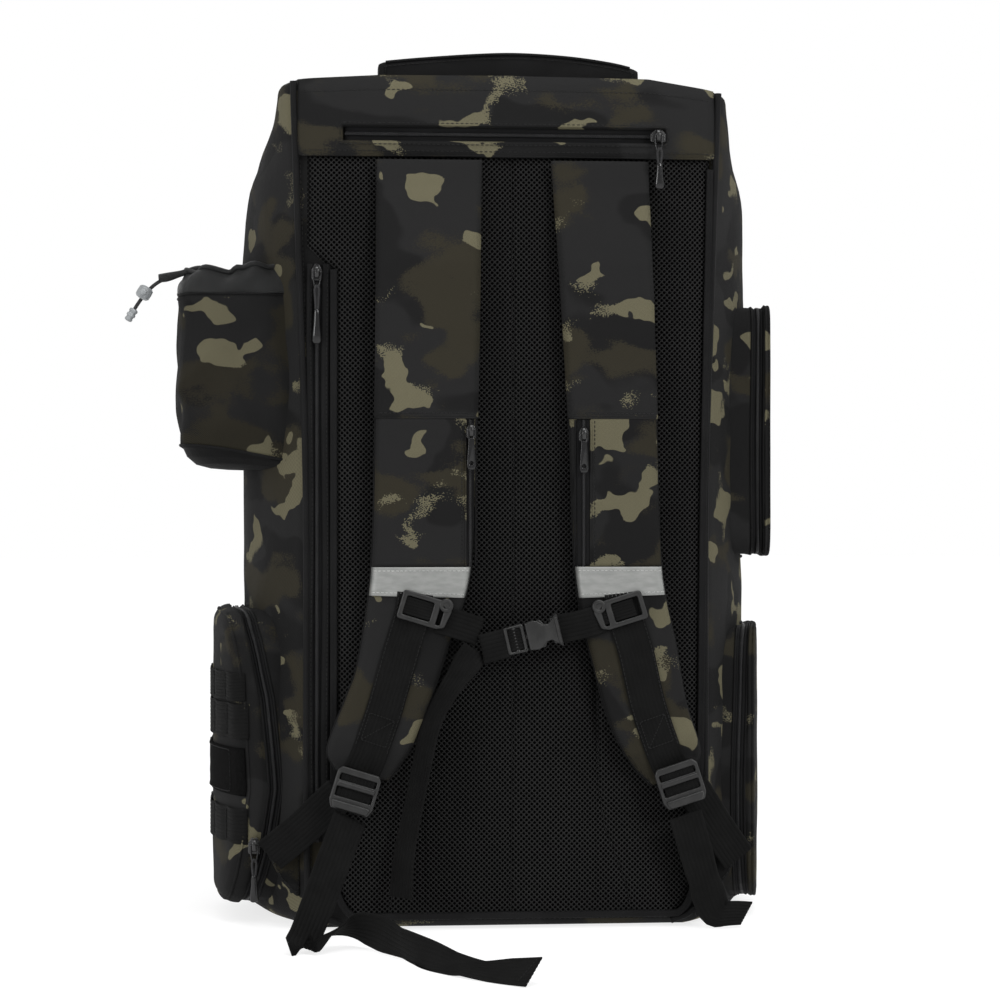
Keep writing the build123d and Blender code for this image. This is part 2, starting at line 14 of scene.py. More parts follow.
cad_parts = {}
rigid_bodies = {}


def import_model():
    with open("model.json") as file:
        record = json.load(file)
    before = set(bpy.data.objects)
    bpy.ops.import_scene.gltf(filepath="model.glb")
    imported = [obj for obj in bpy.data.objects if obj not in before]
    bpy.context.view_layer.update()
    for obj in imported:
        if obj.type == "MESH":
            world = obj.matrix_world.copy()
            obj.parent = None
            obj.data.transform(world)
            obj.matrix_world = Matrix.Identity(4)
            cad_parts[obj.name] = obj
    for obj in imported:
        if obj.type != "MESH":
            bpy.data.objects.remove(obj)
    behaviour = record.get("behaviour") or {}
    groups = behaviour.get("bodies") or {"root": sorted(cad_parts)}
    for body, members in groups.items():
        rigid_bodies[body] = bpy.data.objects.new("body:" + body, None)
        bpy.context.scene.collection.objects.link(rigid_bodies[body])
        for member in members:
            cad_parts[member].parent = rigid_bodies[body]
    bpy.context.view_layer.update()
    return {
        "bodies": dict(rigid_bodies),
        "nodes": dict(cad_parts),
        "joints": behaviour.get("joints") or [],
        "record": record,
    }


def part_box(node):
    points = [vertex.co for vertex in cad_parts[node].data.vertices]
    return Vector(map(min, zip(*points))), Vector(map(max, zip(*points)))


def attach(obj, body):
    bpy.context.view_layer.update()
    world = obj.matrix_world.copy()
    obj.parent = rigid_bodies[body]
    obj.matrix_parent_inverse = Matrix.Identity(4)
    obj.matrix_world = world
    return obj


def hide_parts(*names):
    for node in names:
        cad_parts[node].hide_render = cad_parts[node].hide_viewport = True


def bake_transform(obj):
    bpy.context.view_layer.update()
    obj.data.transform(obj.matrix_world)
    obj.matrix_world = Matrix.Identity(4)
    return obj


MM = 0.001
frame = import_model()


def span(node):
    """Lowest and highest corner of a CAD node, in millimetres."""
    return [np.array(corner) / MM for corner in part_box(node)]


# ================================================================ camera, floor and light
camera_data = bpy.data.cameras.new("camera")
camera_data.lens = 97.7
camera_data.sensor_width = 36.0
camera = bpy.data.objects.new("camera", camera_data)
camera.location = (-0.1712, -2.0073, 0.301)
camera_target = Vector((-0.0056, -0.1145, 0.301))
camera.rotation_euler = (camera_target - camera.location).to_track_quat("-Z", "Y").to_euler()
bpy.context.scene.collection.objects.link(camera)
bpy.context.scene.camera = camera
bpy.context.scene.view_settings.view_transform = "Standard"


class Finish:
    """A material under construction: one Principled shader and the nodes that feed it."""

    def __init__(self, name, colour, roughness, specular, **inputs):
        self.material = bpy.data.materials.new(name)
        self.material.use_nodes = True
        self.tree = self.material.node_tree
        self.shader = self.tree.nodes["Principled BSDF"]
        self.place = None
        self.feed(self.shader, {"Base Color": (*colour, 1.0), "Roughness": roughness,
                                "Specular IOR Level": specular, **inputs})

    def feed(self, node, inputs):
        """Set or link a node's inputs."""
        for key, value in inputs.items():
            socket = node.inputs[key]
            if isinstance(value, bpy.types.NodeSocket):
                self.tree.links.new(value, socket)
            else:
                socket.default_value = value

    def node(self, kind, inputs, **settings):
        """A new node with its settings and inputs."""
        made = self.tree.nodes.new("ShaderNode" + kind)
        for key, value in settings.items():
            setattr(made, key, value)
        self.feed(made, inputs)
        return made

    def coordinates(self, shift=(0, 0, 0), stretch=(1, 1, 1)):
        """Object coordinates, moved and scaled."""
        if self.place is None:
            self.place = self.node("TexCoord", {}).outputs["Object"]
        return self.node("Mapping", {"Vector": self.place, "Location": shift, "Scale": stretch}).outputs[0]

    def noise(self, vector, scale, detail=2.0, rough=0.5, distortion=0.0, output="Fac"):
        """Noise texture, in features per metre."""
        return self.node("TexNoise", {"Vector": vector, "Scale": scale, "Detail": detail, "Roughness": rough,
                                      "Distortion": distortion}).outputs[output]

    def math(self, operation, first, second=0.0, third=0.0):
        return self.node("Math", {0: first, 1: second, 2: third}, operation=operation).outputs[0]

    def step(self, value, low, high):
        """0 below low, 1 above high, smooth between."""
        return self.node("MapRange", {"Value": value, "From Min": low, "From Max": high},
                         interpolation_type="SMOOTHSTEP").outputs[0]

    def mix(self, factor, first, second):
        """Blend of two colours."""
        made = self.node("Mix", {"Factor": factor}, data_type="RGBA")
        for socket, colour in ((made.inputs[6], first), (made.inputs[7], second)):
            if isinstance(colour, bpy.types.NodeSocket):
                self.tree.links.new(colour, socket)
            else:
                socket.default_value = (*colour, 1.0)
        return made.outputs[2]

    def warp(self, vector, scale, amount):
        """The vector pushed about by noise."""
        wander = self.noise(vector, scale, 1.0, output="Color")
        half = self.node("VectorMath", {0: wander, 1: (0.5, 0.5, 0.5)}, operation="SUBTRACT").outputs[0]
        push = self.node("VectorMath", {0: half, "Scale": amount}, operation="SCALE").outputs[0]
        return self.node("VectorMath", {0: vector, 1: push}, operation="ADD").outputs[0]

    def weave(self, pitch):
        """Height of a plain weave over the frame's axes, between -1 and 1."""
        parts = self.node("SeparateXYZ", {0: self.coordinates()}).outputs
        round_ = self.math("ADD", parts[0], parts[1])
        turns = 2 * math.pi / pitch
        warp_yarn = self.math("SINE", self.math("MULTIPLY", round_, turns))
        weft_yarn = self.math("SINE", self.math("MULTIPLY", parts[2], turns))
        return self.math("MULTIPLY", warp_yarn, weft_yarn)

    def bump(self, height, distance, strength=1.0):
        bump = self.node("Bump", {"Height": height, "Distance": distance, "Strength": strength})
        self.feed(self.shader, {"Normal": bump.outputs[0]})


def tinted(colour, factor):
    """A colour made lighter or darker."""
    return tuple(channel * factor for channel in colour)


CHARCOAL = (0.0165, 0.0165, 0.0166)
OLIVE = (0.040, 0.0355, 0.0235)
TAN = (0.172, 0.158, 0.1)
BLACK = (0.0105, 0.0105, 0.0108)


def camo(name, shift, painted_shade, sparse):
    """Coated camouflage cloth, cut from another part of the roll for each shift, and darkened all over by a
    painted shade factor for the shade its part lies in.
    """
    made = Finish(name, CHARCOAL, 0.82, 0.07)
    roll = made.coordinates(shift, (1.0, 1.0, 1.55))
    wavy = made.warp(roll, 30.0, 0.022)
    zones = made.step(made.noise(wavy, 11.0, 1.5), 0.47, 0.5)
    # Every colour of the pattern is scaled by the painted shade factor: painted shade, not the cloth's own
    # colour.
    ground = made.mix(zones, tinted(CHARCOAL, 0.8 * painted_shade), tinted(CHARCOAL, 1.35 * painted_shade))
    speckle = made.noise(roll, 900.0, 0.0)
    soft = made.noise(made.warp(roll, 24.0, 0.03), 15.0, 2.0)
    sprayed = made.math("ADD", soft, made.math("MULTIPLY", made.math("SUBTRACT", speckle, 0.5), 0.10))
    olive = made.mix(made.step(sprayed, 0.565, 0.61), ground, tinted(OLIVE, painted_shade))
    second = made.coordinates((shift[0] + 0.37, shift[1], shift[2] + 0.21), (1.0, 1.0, 1.4))
    shape = made.noise(made.warp(second, 60.0, 0.016), 27.0, 0.8, distortion=0.5)
    faded = made.step(made.noise(second, 17.0, 1.0), 0.5, 0.62)
    ragged = made.math("MULTIPLY", made.math("MULTIPLY", made.math("SUBTRACT", speckle, 0.5), 0.22), faded)
    blobs = made.step(made.math("ADD", shape, ragged), 0.627 + sparse, 0.634 + sparse)
    colour = made.mix(blobs, olive, tinted(TAN, 0.45 + 0.55 * painted_shade))
    # Painted shade: the weave's low yarns are darkened towards a quarter of the charcoal.
    threads = made.weave(0.0009)
    lit = made.step(threads, -1.6, 1.2)
    shaded = made.mix(lit, tinted(CHARCOAL, 0.25), colour)
    made.feed(made.shader, {"Base Color": shaded})
    rumple = made.math("MULTIPLY", made.noise(made.coordinates(), 60.0, 2.0), 6.0)
    made.bump(made.math("ADD", threads, rumple), 0.00012, 0.7)
    return made.material


def woven(name, colour, pitch, roughness=0.85, specular=0.12, rumple=3.0, sheen=0.0):
    """Plain woven cloth in one colour, with its yarns and a little wear."""
    made = Finish(name, colour, roughness, specular, **{"Sheen Weight": sheen, "Sheen Roughness": 0.5})
    threads = made.weave(pitch)
    cloud = made.step(made.noise(made.coordinates(), 35.0, 3.0), 0.3, 0.75)
    worn = made.mix(cloud, tinted(colour, 0.8), tinted(colour, 1.25))
    # Painted shade: the weave's low parts are darkened towards 0.3 of the colour.
    made.feed(made.shader, {"Base Color": made.mix(made.step(threads, -1.5, 1.2), tinted(colour, 0.3), worn)})
    creases = made.math("MULTIPLY", made.noise(made.coordinates(), 90.0, 3.0), rumple)
    made.bump(made.math("ADD", threads, creases), 0.00015, 0.7)
    return made.material


def ribbed(name, colour, pitch=0.0009):
    """Webbing: fine picks across the ribs, which are in the mesh, by its own map."""
    made = Finish(name, colour, 0.8, 0.08)
    flat = made.node("UVMap", {}, uv_map="ribs").outputs[0]
    parts = made.node("SeparateXYZ", {0: flat}).outputs
    turns = 2 * math.pi / pitch
    slant = made.math("ADD", parts[1], made.math("MULTIPLY", parts[0], 0.8))
    picks = made.math("SINE", made.math("MULTIPLY", slant, turns))
    fuzz = made.noise(made.coordinates(), 2400.0, 1.0)
    cloud = made.step(made.noise(made.coordinates(), 60.0, 2.0), 0.3, 0.7)
    worn = made.mix(cloud, tinted(colour, 0.85), tinted(colour, 1.3))
    # Painted shade: the low parts of the picks and fuzz are darkened towards 0.45 of the colour.
    lit = made.step(made.math("ADD", picks, made.math("MULTIPLY", fuzz, 1.2)), -0.8, 1.6)
    made.feed(made.shader, {"Base Color": made.mix(lit, tinted(colour, 0.45), worn)})
    made.bump(made.math("ADD", picks, fuzz), 0.0001, 0.8)
    return made.material


def knitted(name, colour):
    """Air-mesh yarn: fuzzy, with fine loops."""
    made = Finish(name, colour, 0.9, 0.1)
    yarn = made.noise(made.coordinates(), 1500.0, 2.0)
    wide = made.step(made.noise(made.coordinates(), 12.0, 2.0), 0.35, 0.7)
    tone = made.mix(wide, tinted(colour, 0.9), tinted(colour, 1.15))
    # Painted shade: where the yarn noise, which also gives the bump, is low, the colour is darkened to 0.6 of it.
    made.feed(made.shader, {"Base Color": made.mix(made.step(yarn, 0.25, 0.75), tinted(colour, 0.6), tone)})
    made.bump(yarn, 0.0003, 0.6)
    return made.material


def moulded(name, colour, roughness, specular, grain=0.00003, worn=1.6):
    """Moulded plastic or enamel: fine grain, and patches that differ a little in tone and gloss."""
    made = Finish(name, colour, roughness, specular)
    cloud = made.noise(made.coordinates(), 140.0, 3.0)
    made.feed(made.shader, {
        "Base Color": made.mix(made.step(cloud, 0.35, 0.75), colour, tinted(colour, worn)),
        "Roughness": made.node("MapRange", {"Value": cloud, "To Min": roughness * 0.85,
                                            "To Max": roughness * 1.2}).outputs[0]})
    made.bump(made.noise(made.coordinates(), 3000.0, 1.0), grain, 0.5)
    return made.material


def piled(name, colour):
    """Hook-and-loop pile."""
    made = Finish(name, colour, 0.95, 0.03)
    curls = made.noise(made.coordinates(), 1100.0, 4.0, 0.8, 1.5)
    # Painted shade between the curls and painted highlight on their tops: the colour follows the curls' height,
    # from 0.3 to 1.6 of it.
    made.feed(made.shader, {"Base Color": made.mix(made.step(curls, 0.35, 0.65), tinted(colour, 0.3),
                                                   tinted(colour, 1.6))})
    made.bump(curls, 0.0006, 1.0)
    return made.material


def reflective(name):
    """Silver reflective tape: tiny cells under a slightly creased film."""
    made = Finish(name, (0.2, 0.203, 0.197), 0.45, 0.35, **{"Metallic": 0.1})
    cells = made.node("TexVoronoi", {"Vector": made.coordinates(), "Scale": 1400.0}).outputs["Distance"]
    creases = made.noise(made.coordinates((0, 0, 0), (1, 1, 3)), 90.0, 3.0)
    # Painted light and shade: the film is lighter on the crests of its creases and darker in their hollows.
    tone = made.mix(made.step(creases, 0.3, 0.7), (0.185, 0.19, 0.183), (0.232, 0.236, 0.228))
    made.feed(made.shader, {"Base Color": tone})
    made.bump(made.math("ADD", made.math("MULTIPLY", cells, 0.15), made.math("MULTIPLY", creases, 3.0)),
              0.0002, 0.6)
    return made.material


# Per cloth: a painted shade factor, darkening the whole cloth for the shade its parts lie in (the drawstring tub
# most), and how much sparser its tan blobs are.
camo_painted_shade_and_sparse = ((0.9, 0.0), (1.0, 0.06), (0.95, 0.015), (0.9, 0.03), (0.9, 0.015), (0.8, 0.02), (0.82, 0.01),
               (0.6, 0.01))
CAMO = [(camo(f"camo_cloth_{i}", (0.31 * i + 0.05, 0.17 * i, 0.23 * i + 0.4), *painted_shade), "camo_fabric")
        for i, painted_shade in enumerate(camo_painted_shade_and_sparse)]
NYLON = (woven("black_nylon", tinted(BLACK, 0.7), 0.0007, 0.75, 0.12), "black_nylon")
COLLAR = (woven("collar_taffeta", (0.0125, 0.013, 0.013), 0.0004, 0.45, 0.25, 12.0), "black_nylon")
LINING = (woven("grey_lining", (0.05, 0.05, 0.052), 0.0006), "black_nylon")
MESH = (knitted("mesh_yarn", (0.021, 0.021, 0.0208)), "air_mesh")
MESH_BACK = (woven("mesh_backing", (0.0035, 0.0035, 0.0035), 0.0012, 0.95, 0.04), "air_mesh")
TRIM = (woven("black_trim", (0.0085, 0.0085, 0.0088), 0.0006, 0.7, 0.12), "black_trim")
TAPE = (woven("zip_tape", (0.0085, 0.0085, 0.009), 0.0008, 0.8, 0.1), "black_trim")
COIL = (moulded("zip_coil", (0.008, 0.008, 0.0085), 0.45, 0.22), "black_trim")
WEBBING = (ribbed("black_webbing", (0.0058, 0.0058, 0.0057)), "black_webbing")
PILE = (piled("loop_pile", (0.0045, 0.0045, 0.0045)), "loop_pile")
SILVER = (reflective("reflective_tape"), "reflective_tape")
PLASTIC = (moulded("moulded_acetal", (0.0095, 0.0095, 0.0093), 0.36, 0.36), "moulded_black")
FITTING = (moulded("cord_fitting", (0.17, 0.18, 0.185), 0.4, 0.5), "cord_fittings")
CORD = (woven("cord_sheath", (0.03, 0.03, 0.031), 0.0012, 0.7, 0.2), "cord_black")
SLIDER = (moulded("slider_enamel", (0.008, 0.008, 0.008), 0.26, 0.5, 0.00001), "zip_metal")
GLOSS = (moulded("pull_enamel", (0.006, 0.006, 0.0063), 0.16, 0.4, 0.000005), "zip_pull_gloss")
THREAD = (woven("black_thread", (0.013, 0.013, 0.013), 0.0004, 0.6, 0.2), "black_trim")
WHITE_THREAD = (woven("white_thread", (0.55, 0.56, 0.54), 0.0004, 0.6, 0.3), "reflective_tape")

floor_look = Finish("studio_floor", (0.3, 0.3, 0.3), 0.8, 0.0, **{"Emission Color": (1.0, 1.0, 1.0, 1.0),
                                                                  "Emission Strength": 0.76})
floor_mesh = bpy.data.meshes.new("floor")
floor_half = 12.0
floor_mesh.from_pydata([(-floor_half, -floor_half, 0), (floor_half, -floor_half, 0),
                        (floor_half, floor_half, 0), (-floor_half, floor_half, 0)], [], [(0, 1, 2, 3)])
floor_mesh.materials.append(floor_look.material)
floor = bpy.data.objects.new("floor", floor_mesh)
bpy.context.scene.collection.objects.link(floor)

world = bpy.data.worlds.new("studio")
world.use_nodes = True
world.node_tree.nodes["Background"].inputs["Color"].default_value = (1.0, 1.0, 1.0, 1.0)
sky_way = world.node_tree.nodes.new("ShaderNodeTexCoord")
sky_parts = world.node_tree.nodes.new("ShaderNodeSeparateXYZ")
sky_dim = world.node_tree.nodes.new("ShaderNodeMapRange")
sky_dim.interpolation_type = "SMOOTHSTEP"
for socket, value in (("From Min", -0.75), ("From Max", -0.1), ("To Min", 0.45), ("To Max", 1.0)):
    sky_dim.inputs[socket].default_value = value
world.node_tree.links.new(sky_way.outputs["Generated"], sky_parts.inputs[0])
world.node_tree.links.new(sky_parts.outputs[1], sky_dim.inputs["Value"])
world.node_tree.links.new(sky_dim.outputs[0], world.node_tree.nodes["Background"].inputs["Strength"])
bpy.context.scene.world = world


def soft_light(name, place, size, power):
    """A square area light aimed at the middle of the bag."""
    data = bpy.data.lights.new(name, "AREA")
    data.size = size
    data.energy = power
    light = bpy.data.objects.new(name, data)
    light.location = place
    light.rotation_euler = (Vector((0, 0, 0.3)) - light.location).to_track_quat("-Z", "Y").to_euler()
    bpy.context.scene.collection.objects.link(light)


soft_light("overhead", (0.2, -1.0, 2.6), 1.2, 26.0)
soft_light("key", (1.5, -2.2, 1.5), 0.8, 34.0)
soft_light("fill", (-1.9, -1.5, 0.8), 0.8, 18.0)


# ================================================================ mesh helpers
def piece(name, points, faces, body, look, flat_map=None, sharp=None):
    """A mesh piece that rides on a body, or on none where it runs between two.

    flat_map gives each point's place on the cloth, for webbing.
    """
    material, slot = look
    mesh = bpy.data.meshes.new(name)
    mesh.from_pydata((np.asarray(points, float) * MM).tolist(), [], faces)
    if flat_map is not None:
        corners = np.empty(len(mesh.loops), np.int32)
        mesh.loops.foreach_get("vertex_index", corners)
        layer = mesh.uv_layers.new(name="ribs")
        layer.data.foreach_set("uv", (np.asarray(flat_map, float)[corners] * MM).ravel())
    work = bmesh.new()
    work.from_mesh(mesh)
    bmesh.ops.recalc_face_normals(work, faces=work.faces)
    work.to_mesh(mesh)
    work.free()
    mesh.shade_smooth()
    if sharp:
        mesh.set_sharp_from_angle(angle=math.radians(sharp))
    mesh.materials.append(material)
    made = bpy.data.objects.new(name, mesh)
    bpy.context.scene.collection.objects.link(made)
    if body:
        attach(made, body)
    return made


def grid_faces(rows, columns, closed=False, first=0):
    """Quads of a grid of points stored row by row."""
    faces = []
    for row in range(rows - 1):
        for column in range(columns if closed else columns - 1):
            a = first + row * columns + column
            b = first + row * columns + (column + 1) % columns
            faces.append((a, b, b + columns, a + columns))
    return faces


def loft(name, rings, body, look, capped=True, flat_map=None, sharp=None):
    """A skin over rings of equal count, with flat caps."""
    rings = [np.asarray(ring, float) for ring in rings]
    count = len(rings[0])
    faces = grid_faces(len(rings), count, closed=True)
    if capped:
        faces.append(tuple(range(count)))
        faces.append(tuple(range((len(rings) - 1) * count, len(rings) * count)))
    return piece(name, np.vstack(rings), faces, body, look, flat_map, sharp)


def thicken(made, thickness, offset=-1.0):
    """Give an open sheet its thickness, in millimetres."""
    solid = made.modifiers.new("thickness", "SOLIDIFY")
    solid.thickness = thickness * MM
    solid.offset = offset
    return made


def lined(made, thickness):
    """Give a cloth skin its thickness, with lining on its inside."""
    made.data.materials.append(LINING[0])
    thicken(made, thickness).modifiers["thickness"].material_offset = 1
    return made


def evenly(points, count):
    """Points spaced evenly along a polyline."""
    points = np.asarray(points, float)
    along = np.concatenate([[0.0], np.cumsum(np.linalg.norm(np.diff(points, axis=0), axis=1))])
    at = np.linspace(0.0, along[-1], count)
    return np.column_stack([np.interp(at, along, column) for column in points.T])


def smooth_line(points, count):
    """Points spaced evenly along a smooth curve through the given points."""
    p = np.asarray(points, float)
    p = np.vstack([2 * p[0] - p[1], p, 2 * p[-1] - p[-2]])
    t = np.linspace(0.0, 1.0, 24, endpoint=False)[:, None]
    runs = []
    for a, b, c, d in zip(p, p[1:], p[2:], p[3:]):
        runs.append(0.5 * (2 * b + (c - a) * t + (2 * a - 5 * b + 4 * c - d) * t ** 2
                           + (3 * b - a - 3 * c + d) * t ** 3))
    return evenly(np.vstack(runs + [p[-2:-1]]), count)


def unit(vectors):
    """Vectors brought to length 1."""
    vectors = np.asarray(vectors, float)
    return vectors / np.maximum(np.linalg.norm(vectors, axis=-1, keepdims=True), 1e-9)


def length_of(path):
    return float(np.linalg.norm(np.diff(np.asarray(path, float), axis=0), axis=1).sum())


def directions(path):
    return unit(np.gradient(np.asarray(path, float), axis=0))


def carried(path, start):
    """Directions across a path, carried along it without twist from a first one."""
    forward = directions(path)
    current = np.asarray(start, float)
    across = []
    for step in forward:
        current = unit(current - step * np.dot(current, step))
        across.append(current)
    return np.array(across)


def tube(name, path, radius, body, look, sides=10, start=(0.3, 0.2, 1.0)):
    """A round tube along a path. radius is one number or one for each point."""
    path = np.asarray(path, float)
    one = carried(path, unit(start))
    other = np.cross(directions(path), one)
    radii = np.broadcast_to(radius, len(path))
    angles = np.linspace(0, 2 * math.pi, sides, endpoint=False)
    rings = [p + r * (np.cos(angles)[:, None] * u + np.sin(angles)[:, None] * v)
             for p, r, u, v in zip(path, radii, one, other)]
    return loft(name, rings, body, look)


def ribbon(name, path, across, width, body, look, thick=1.5, ribs=9, rib_height=0.36):
    """Webbing along a path, its ribs modelled. across is one direction, or one for each point."""
    path = np.asarray(path, float)
    forward = directions(path)
    across = np.broadcast_to(np.asarray(across, float), path.shape)
    across = unit(across - forward * np.sum(across * forward, axis=1, keepdims=True))
    normal = np.cross(forward, across)
    s = np.linspace(-0.5, 0.5, 6 * ribs + 1)
    rib = np.abs(np.sin(math.pi * ribs * (s + 0.5))) ** 0.5
    height = thick / 2 - rib_height + rib_height * rib
    height[0] = height[-1] = thick * 0.15
    offsets = np.concatenate([s, s[::-1]])
    heights = np.concatenate([height, -height[::-1]])
    rings = [p + offsets[:, None] * width * a + heights[:, None] * n for p, a, n in zip(path, across, normal)]
    along = np.concatenate([[0.0], np.cumsum(np.linalg.norm(np.diff(path, axis=0), axis=1))])
    flat_map = np.array([(u * width, v) for v in along for u in offsets])
    return loft(name, rings, body, look, flat_map=flat_map)


def scatter(name, shape, faces, places, body, look):
    """Copies of one small form in one mesh. A place is an origin and three axes."""
    shape = np.asarray(shape, float)
    points, all_faces = [], []
    for number, (origin, x, y, z) in enumerate(places):
        points.append(np.asarray(origin) + shape @ np.array([x, y, z], float))
        all_faces += [tuple(i + number * len(shape) for i in face) for face in faces]
    return piece(name, np.vstack(points), all_faces, body, look)


def places_along(path, normal, pitch):
    """Origins and axes (along, across, out) at even steps of a path."""
    length = length_of(path)
    count = max(2, int(round(length / pitch)))
    fine = evenly(path, count * 2 + 1)[1::2]
    forward = directions(fine)
    out = np.broadcast_to(np.asarray(normal, float), fine.shape)
    out = unit(out - forward * np.sum(out * forward, axis=1, keepdims=True))
    return [(p, f, np.cross(o, f), o) for p, f, o in zip(fine, forward, out)]


def stitches(name, path, normal, body, look=THREAD, pitch=3.4, length=2.5, thick=0.32):
    """A row of sewn stitches: each a short rounded bead of thread that dips at its ends."""
    sides = 6
    angles = np.linspace(0, 2 * math.pi, sides, endpoint=False)
    shape = []
    for x, swell in ((-0.5, 0.35), (-0.28, 0.95), (0.28, 0.95), (0.5, 0.35)):
        drop = -0.28 if abs(x) > 0.4 else 0.0
        for angle in angles:
            shape.append((x * length, thick * swell * math.cos(angle), thick * swell * math.sin(angle) + drop))
    faces = grid_faces(4, sides, closed=True)
    faces += [tuple(range(sides)), tuple(range(3 * sides, 4 * sides))]
    return scatter(name, shape, faces, places_along(path, normal, pitch), body, look)


# faces of a box whose first four corners are its foot and last four its top
BOX_FACES = [(0, 1, 2, 3), (4, 5, 6, 7), (0, 1, 5, 4), (1, 2, 6, 5), (2, 3, 7, 6), (3, 0, 4, 7)]


def coil(name, path, normal, body, look=COIL, pitch=1.25, half=1.55):
    """The closed chain of a coil zip: turns reaching in from both sides in turn."""
    turn = [(-0.42, -0.35, 0.0), (0.42, -0.35, 0.0), (0.42, 1.0, 0.0), (-0.42, 1.0, 0.0),
            (-0.3, -0.3, 0.75), (0.3, -0.3, 0.75), (0.3, 0.75, 0.75), (-0.3, 0.75, 0.75)]
    shape = [(x * pitch, y * half, z * 1.2) for x, y, z in turn]
    places = []
    for number, (origin, along, across, out) in enumerate(places_along(path, normal, pitch / 2)):
        side = 1 if number % 2 else -1
        places.append((origin, along * side, across * side, out))
    return scatter(name, shape, BOX_FACES, places, body, look)


class Plane:
    """A plane that faces the wearer, its x axis climbing by tilt degrees to the right."""

    def __init__(self, centre, tilt=0.0):
        turn = math.radians(tilt)
        self.centre = np.array(centre, float)
        self.right = np.array((math.cos(turn), 0.0, math.sin(turn)))
        self.up = np.array((-math.sin(turn), 0.0, math.cos(turn)))
        self.out = np.array((0.0, -1.0, 0.0))

    def at(self, u, v, w=0.0):
        """The point at u to the right, v up and w out of the plane."""
        return self.centre + u * self.right + v * self.up + w * self.out


def rounded(corners, radii, steps=5):
    """A closed outline with its corners rounded. radii is one number or one for each corner."""
    corners = np.asarray(corners, float)
    radii = np.broadcast_to(radii, len(corners))
    outline = []
    for index, corner in enumerate(corners):
        before, after = corners[index - 1], corners[(index + 1) % len(corners)]
        one, other = unit(before - corner), unit(after - corner)
        opening = math.acos(np.clip(np.dot(one, other), -1, 1))
        if radii[index] <= 0 or opening > math.radians(176):
            outline.append(corner)
            continue
        reach = min(radii[index] / math.tan(opening / 2), 0.49 * np.linalg.norm(before - corner),
                    0.49 * np.linalg.norm(after - corner))
        for t in np.linspace(0, 1, steps + 1):
            outline.append((1 - t) ** 2 * (corner + one * reach) + 2 * t * (1 - t) * corner
                           + t ** 2 * (corner + other * reach))
    return np.array(outline)


def oblong(centre_u, centre_v, width, height, radius):
    """A rounded rectangle's outline."""
    u, v = width / 2, height / 2
    corners = [(centre_u - u, centre_v - v), (centre_u + u, centre_v - v), (centre_u + u, centre_v + v),
               (centre_u - u, centre_v + v)]
    return rounded(corners, radius)


def plate(name, loops, plane, low, high, bevel, body, look):
    """A moulded plate between two heights on a plane: an outline, then its holes, with rounded edges."""
    curve = bpy.data.curves.new(name, "CURVE")
    curve.dimensions = "2D"
    curve.fill_mode = "BOTH"
    curve.extrude = (high - low) / 2 - bevel
    curve.bevel_depth = bevel
    curve.bevel_resolution = 3
    curve.offset = -bevel
    for loop in loops:
        line = curve.splines.new("POLY")
        line.points.add(len(loop) - 1)
        for point, (u, v) in zip(line.points, loop):
            point.co = (u, v, 0.0, 1.0)
        line.use_cyclic_u = True
    drawn = bpy.data.objects.new(name, curve)
    bpy.context.scene.collection.objects.link(drawn)
    bpy.context.view_layer.update()
    flat = bpy.data.meshes.new_from_object(drawn.evaluated_get(bpy.context.evaluated_depsgraph_get()))
    work = bmesh.new()
    work.from_mesh(flat)
    bmesh.ops.remove_doubles(work, verts=work.verts, dist=0.01)
    middle = (low + high) / 2
    points = [plane.at(v.co.x, v.co.y, v.co.z + middle) for v in work.verts]
    work.verts.index_update()
    faces = [tuple(v.index for v in face.verts) for face in work.faces]
    work.free()
    bpy.data.objects.remove(drawn)
    bpy.data.curves.remove(curve)
    bpy.data.meshes.remove(flat)
    return piece(name, points, faces, body, look, sharp=38)


def rumpled(points, amount, size, seed, out):
    """Points pushed in and out by smooth noise, for cloth that isn't flat."""
    moved = []
    for point, direction in zip(points, np.broadcast_to(out, np.shape(points))):
        height = noise.noise(Vector(point) / size + Vector((seed, seed * 0.7, -seed)))
        height += 0.5 * noise.noise(Vector(point) / (size * 0.45) + Vector((-seed, seed, seed)))
        moved.append(point + np.asarray(direction) * amount * height)
    return np.array(moved)


# ================================================================ shell of the bag
back_y = span("back_panel")[0][1]
front_y = span("front_frame")[1][1]
top_z = span("top_panel")[1][2]

# one row per height: z, half widths at the back edge, at mid depth and at the front flat
body_levels = smooth_line([(0, 138, 174, 128), (40, 141, 181, 130), (300, 142, 183, 130), (500, 146, 182, 130),
                           (545, 149, 172, 126), (top_z, 151, 155, 120)], 120)


def half_widths(z):
    """Half widths at one height: back edge, mid depth and front flat."""
    return [float(np.interp(z, body_levels[:, 0], body_levels[:, k])) for k in (1, 2, 3)]


def side_line(z, inset=0.0, steps=10):
    """Plan outline of the right side at one height, from the front corner round to the back edge."""
    back, middle, front = (half - inset for half in half_widths(z))
    knots = np.array([(front, front_y - inset), (middle - 6, 42), (middle, -20), (back, back_y + inset)])
    chord = [np.linalg.norm(b - a) for a, b in zip(knots, knots[1:])]
    slopes = [np.array((1.0, 0.0)), unit(knots[2] - knots[0]), unit(knots[3] - knots[1]),
              np.array((-0.6, -0.8))]
    t = np.linspace(0, 1, steps, endpoint=False)[:, None]
    runs = []
    for k in range(3):
        runs.append((2 * t ** 3 - 3 * t ** 2 + 1) * knots[k] + (t ** 3 - 2 * t ** 2 + t) * slopes[k] * chord[k]
                    + (3 * t ** 2 - 2 * t ** 3) * knots[k + 1] + (t ** 3 - t ** 2) * slopes[k + 1] * chord[k])
    return np.vstack(runs + [knots[3:]])


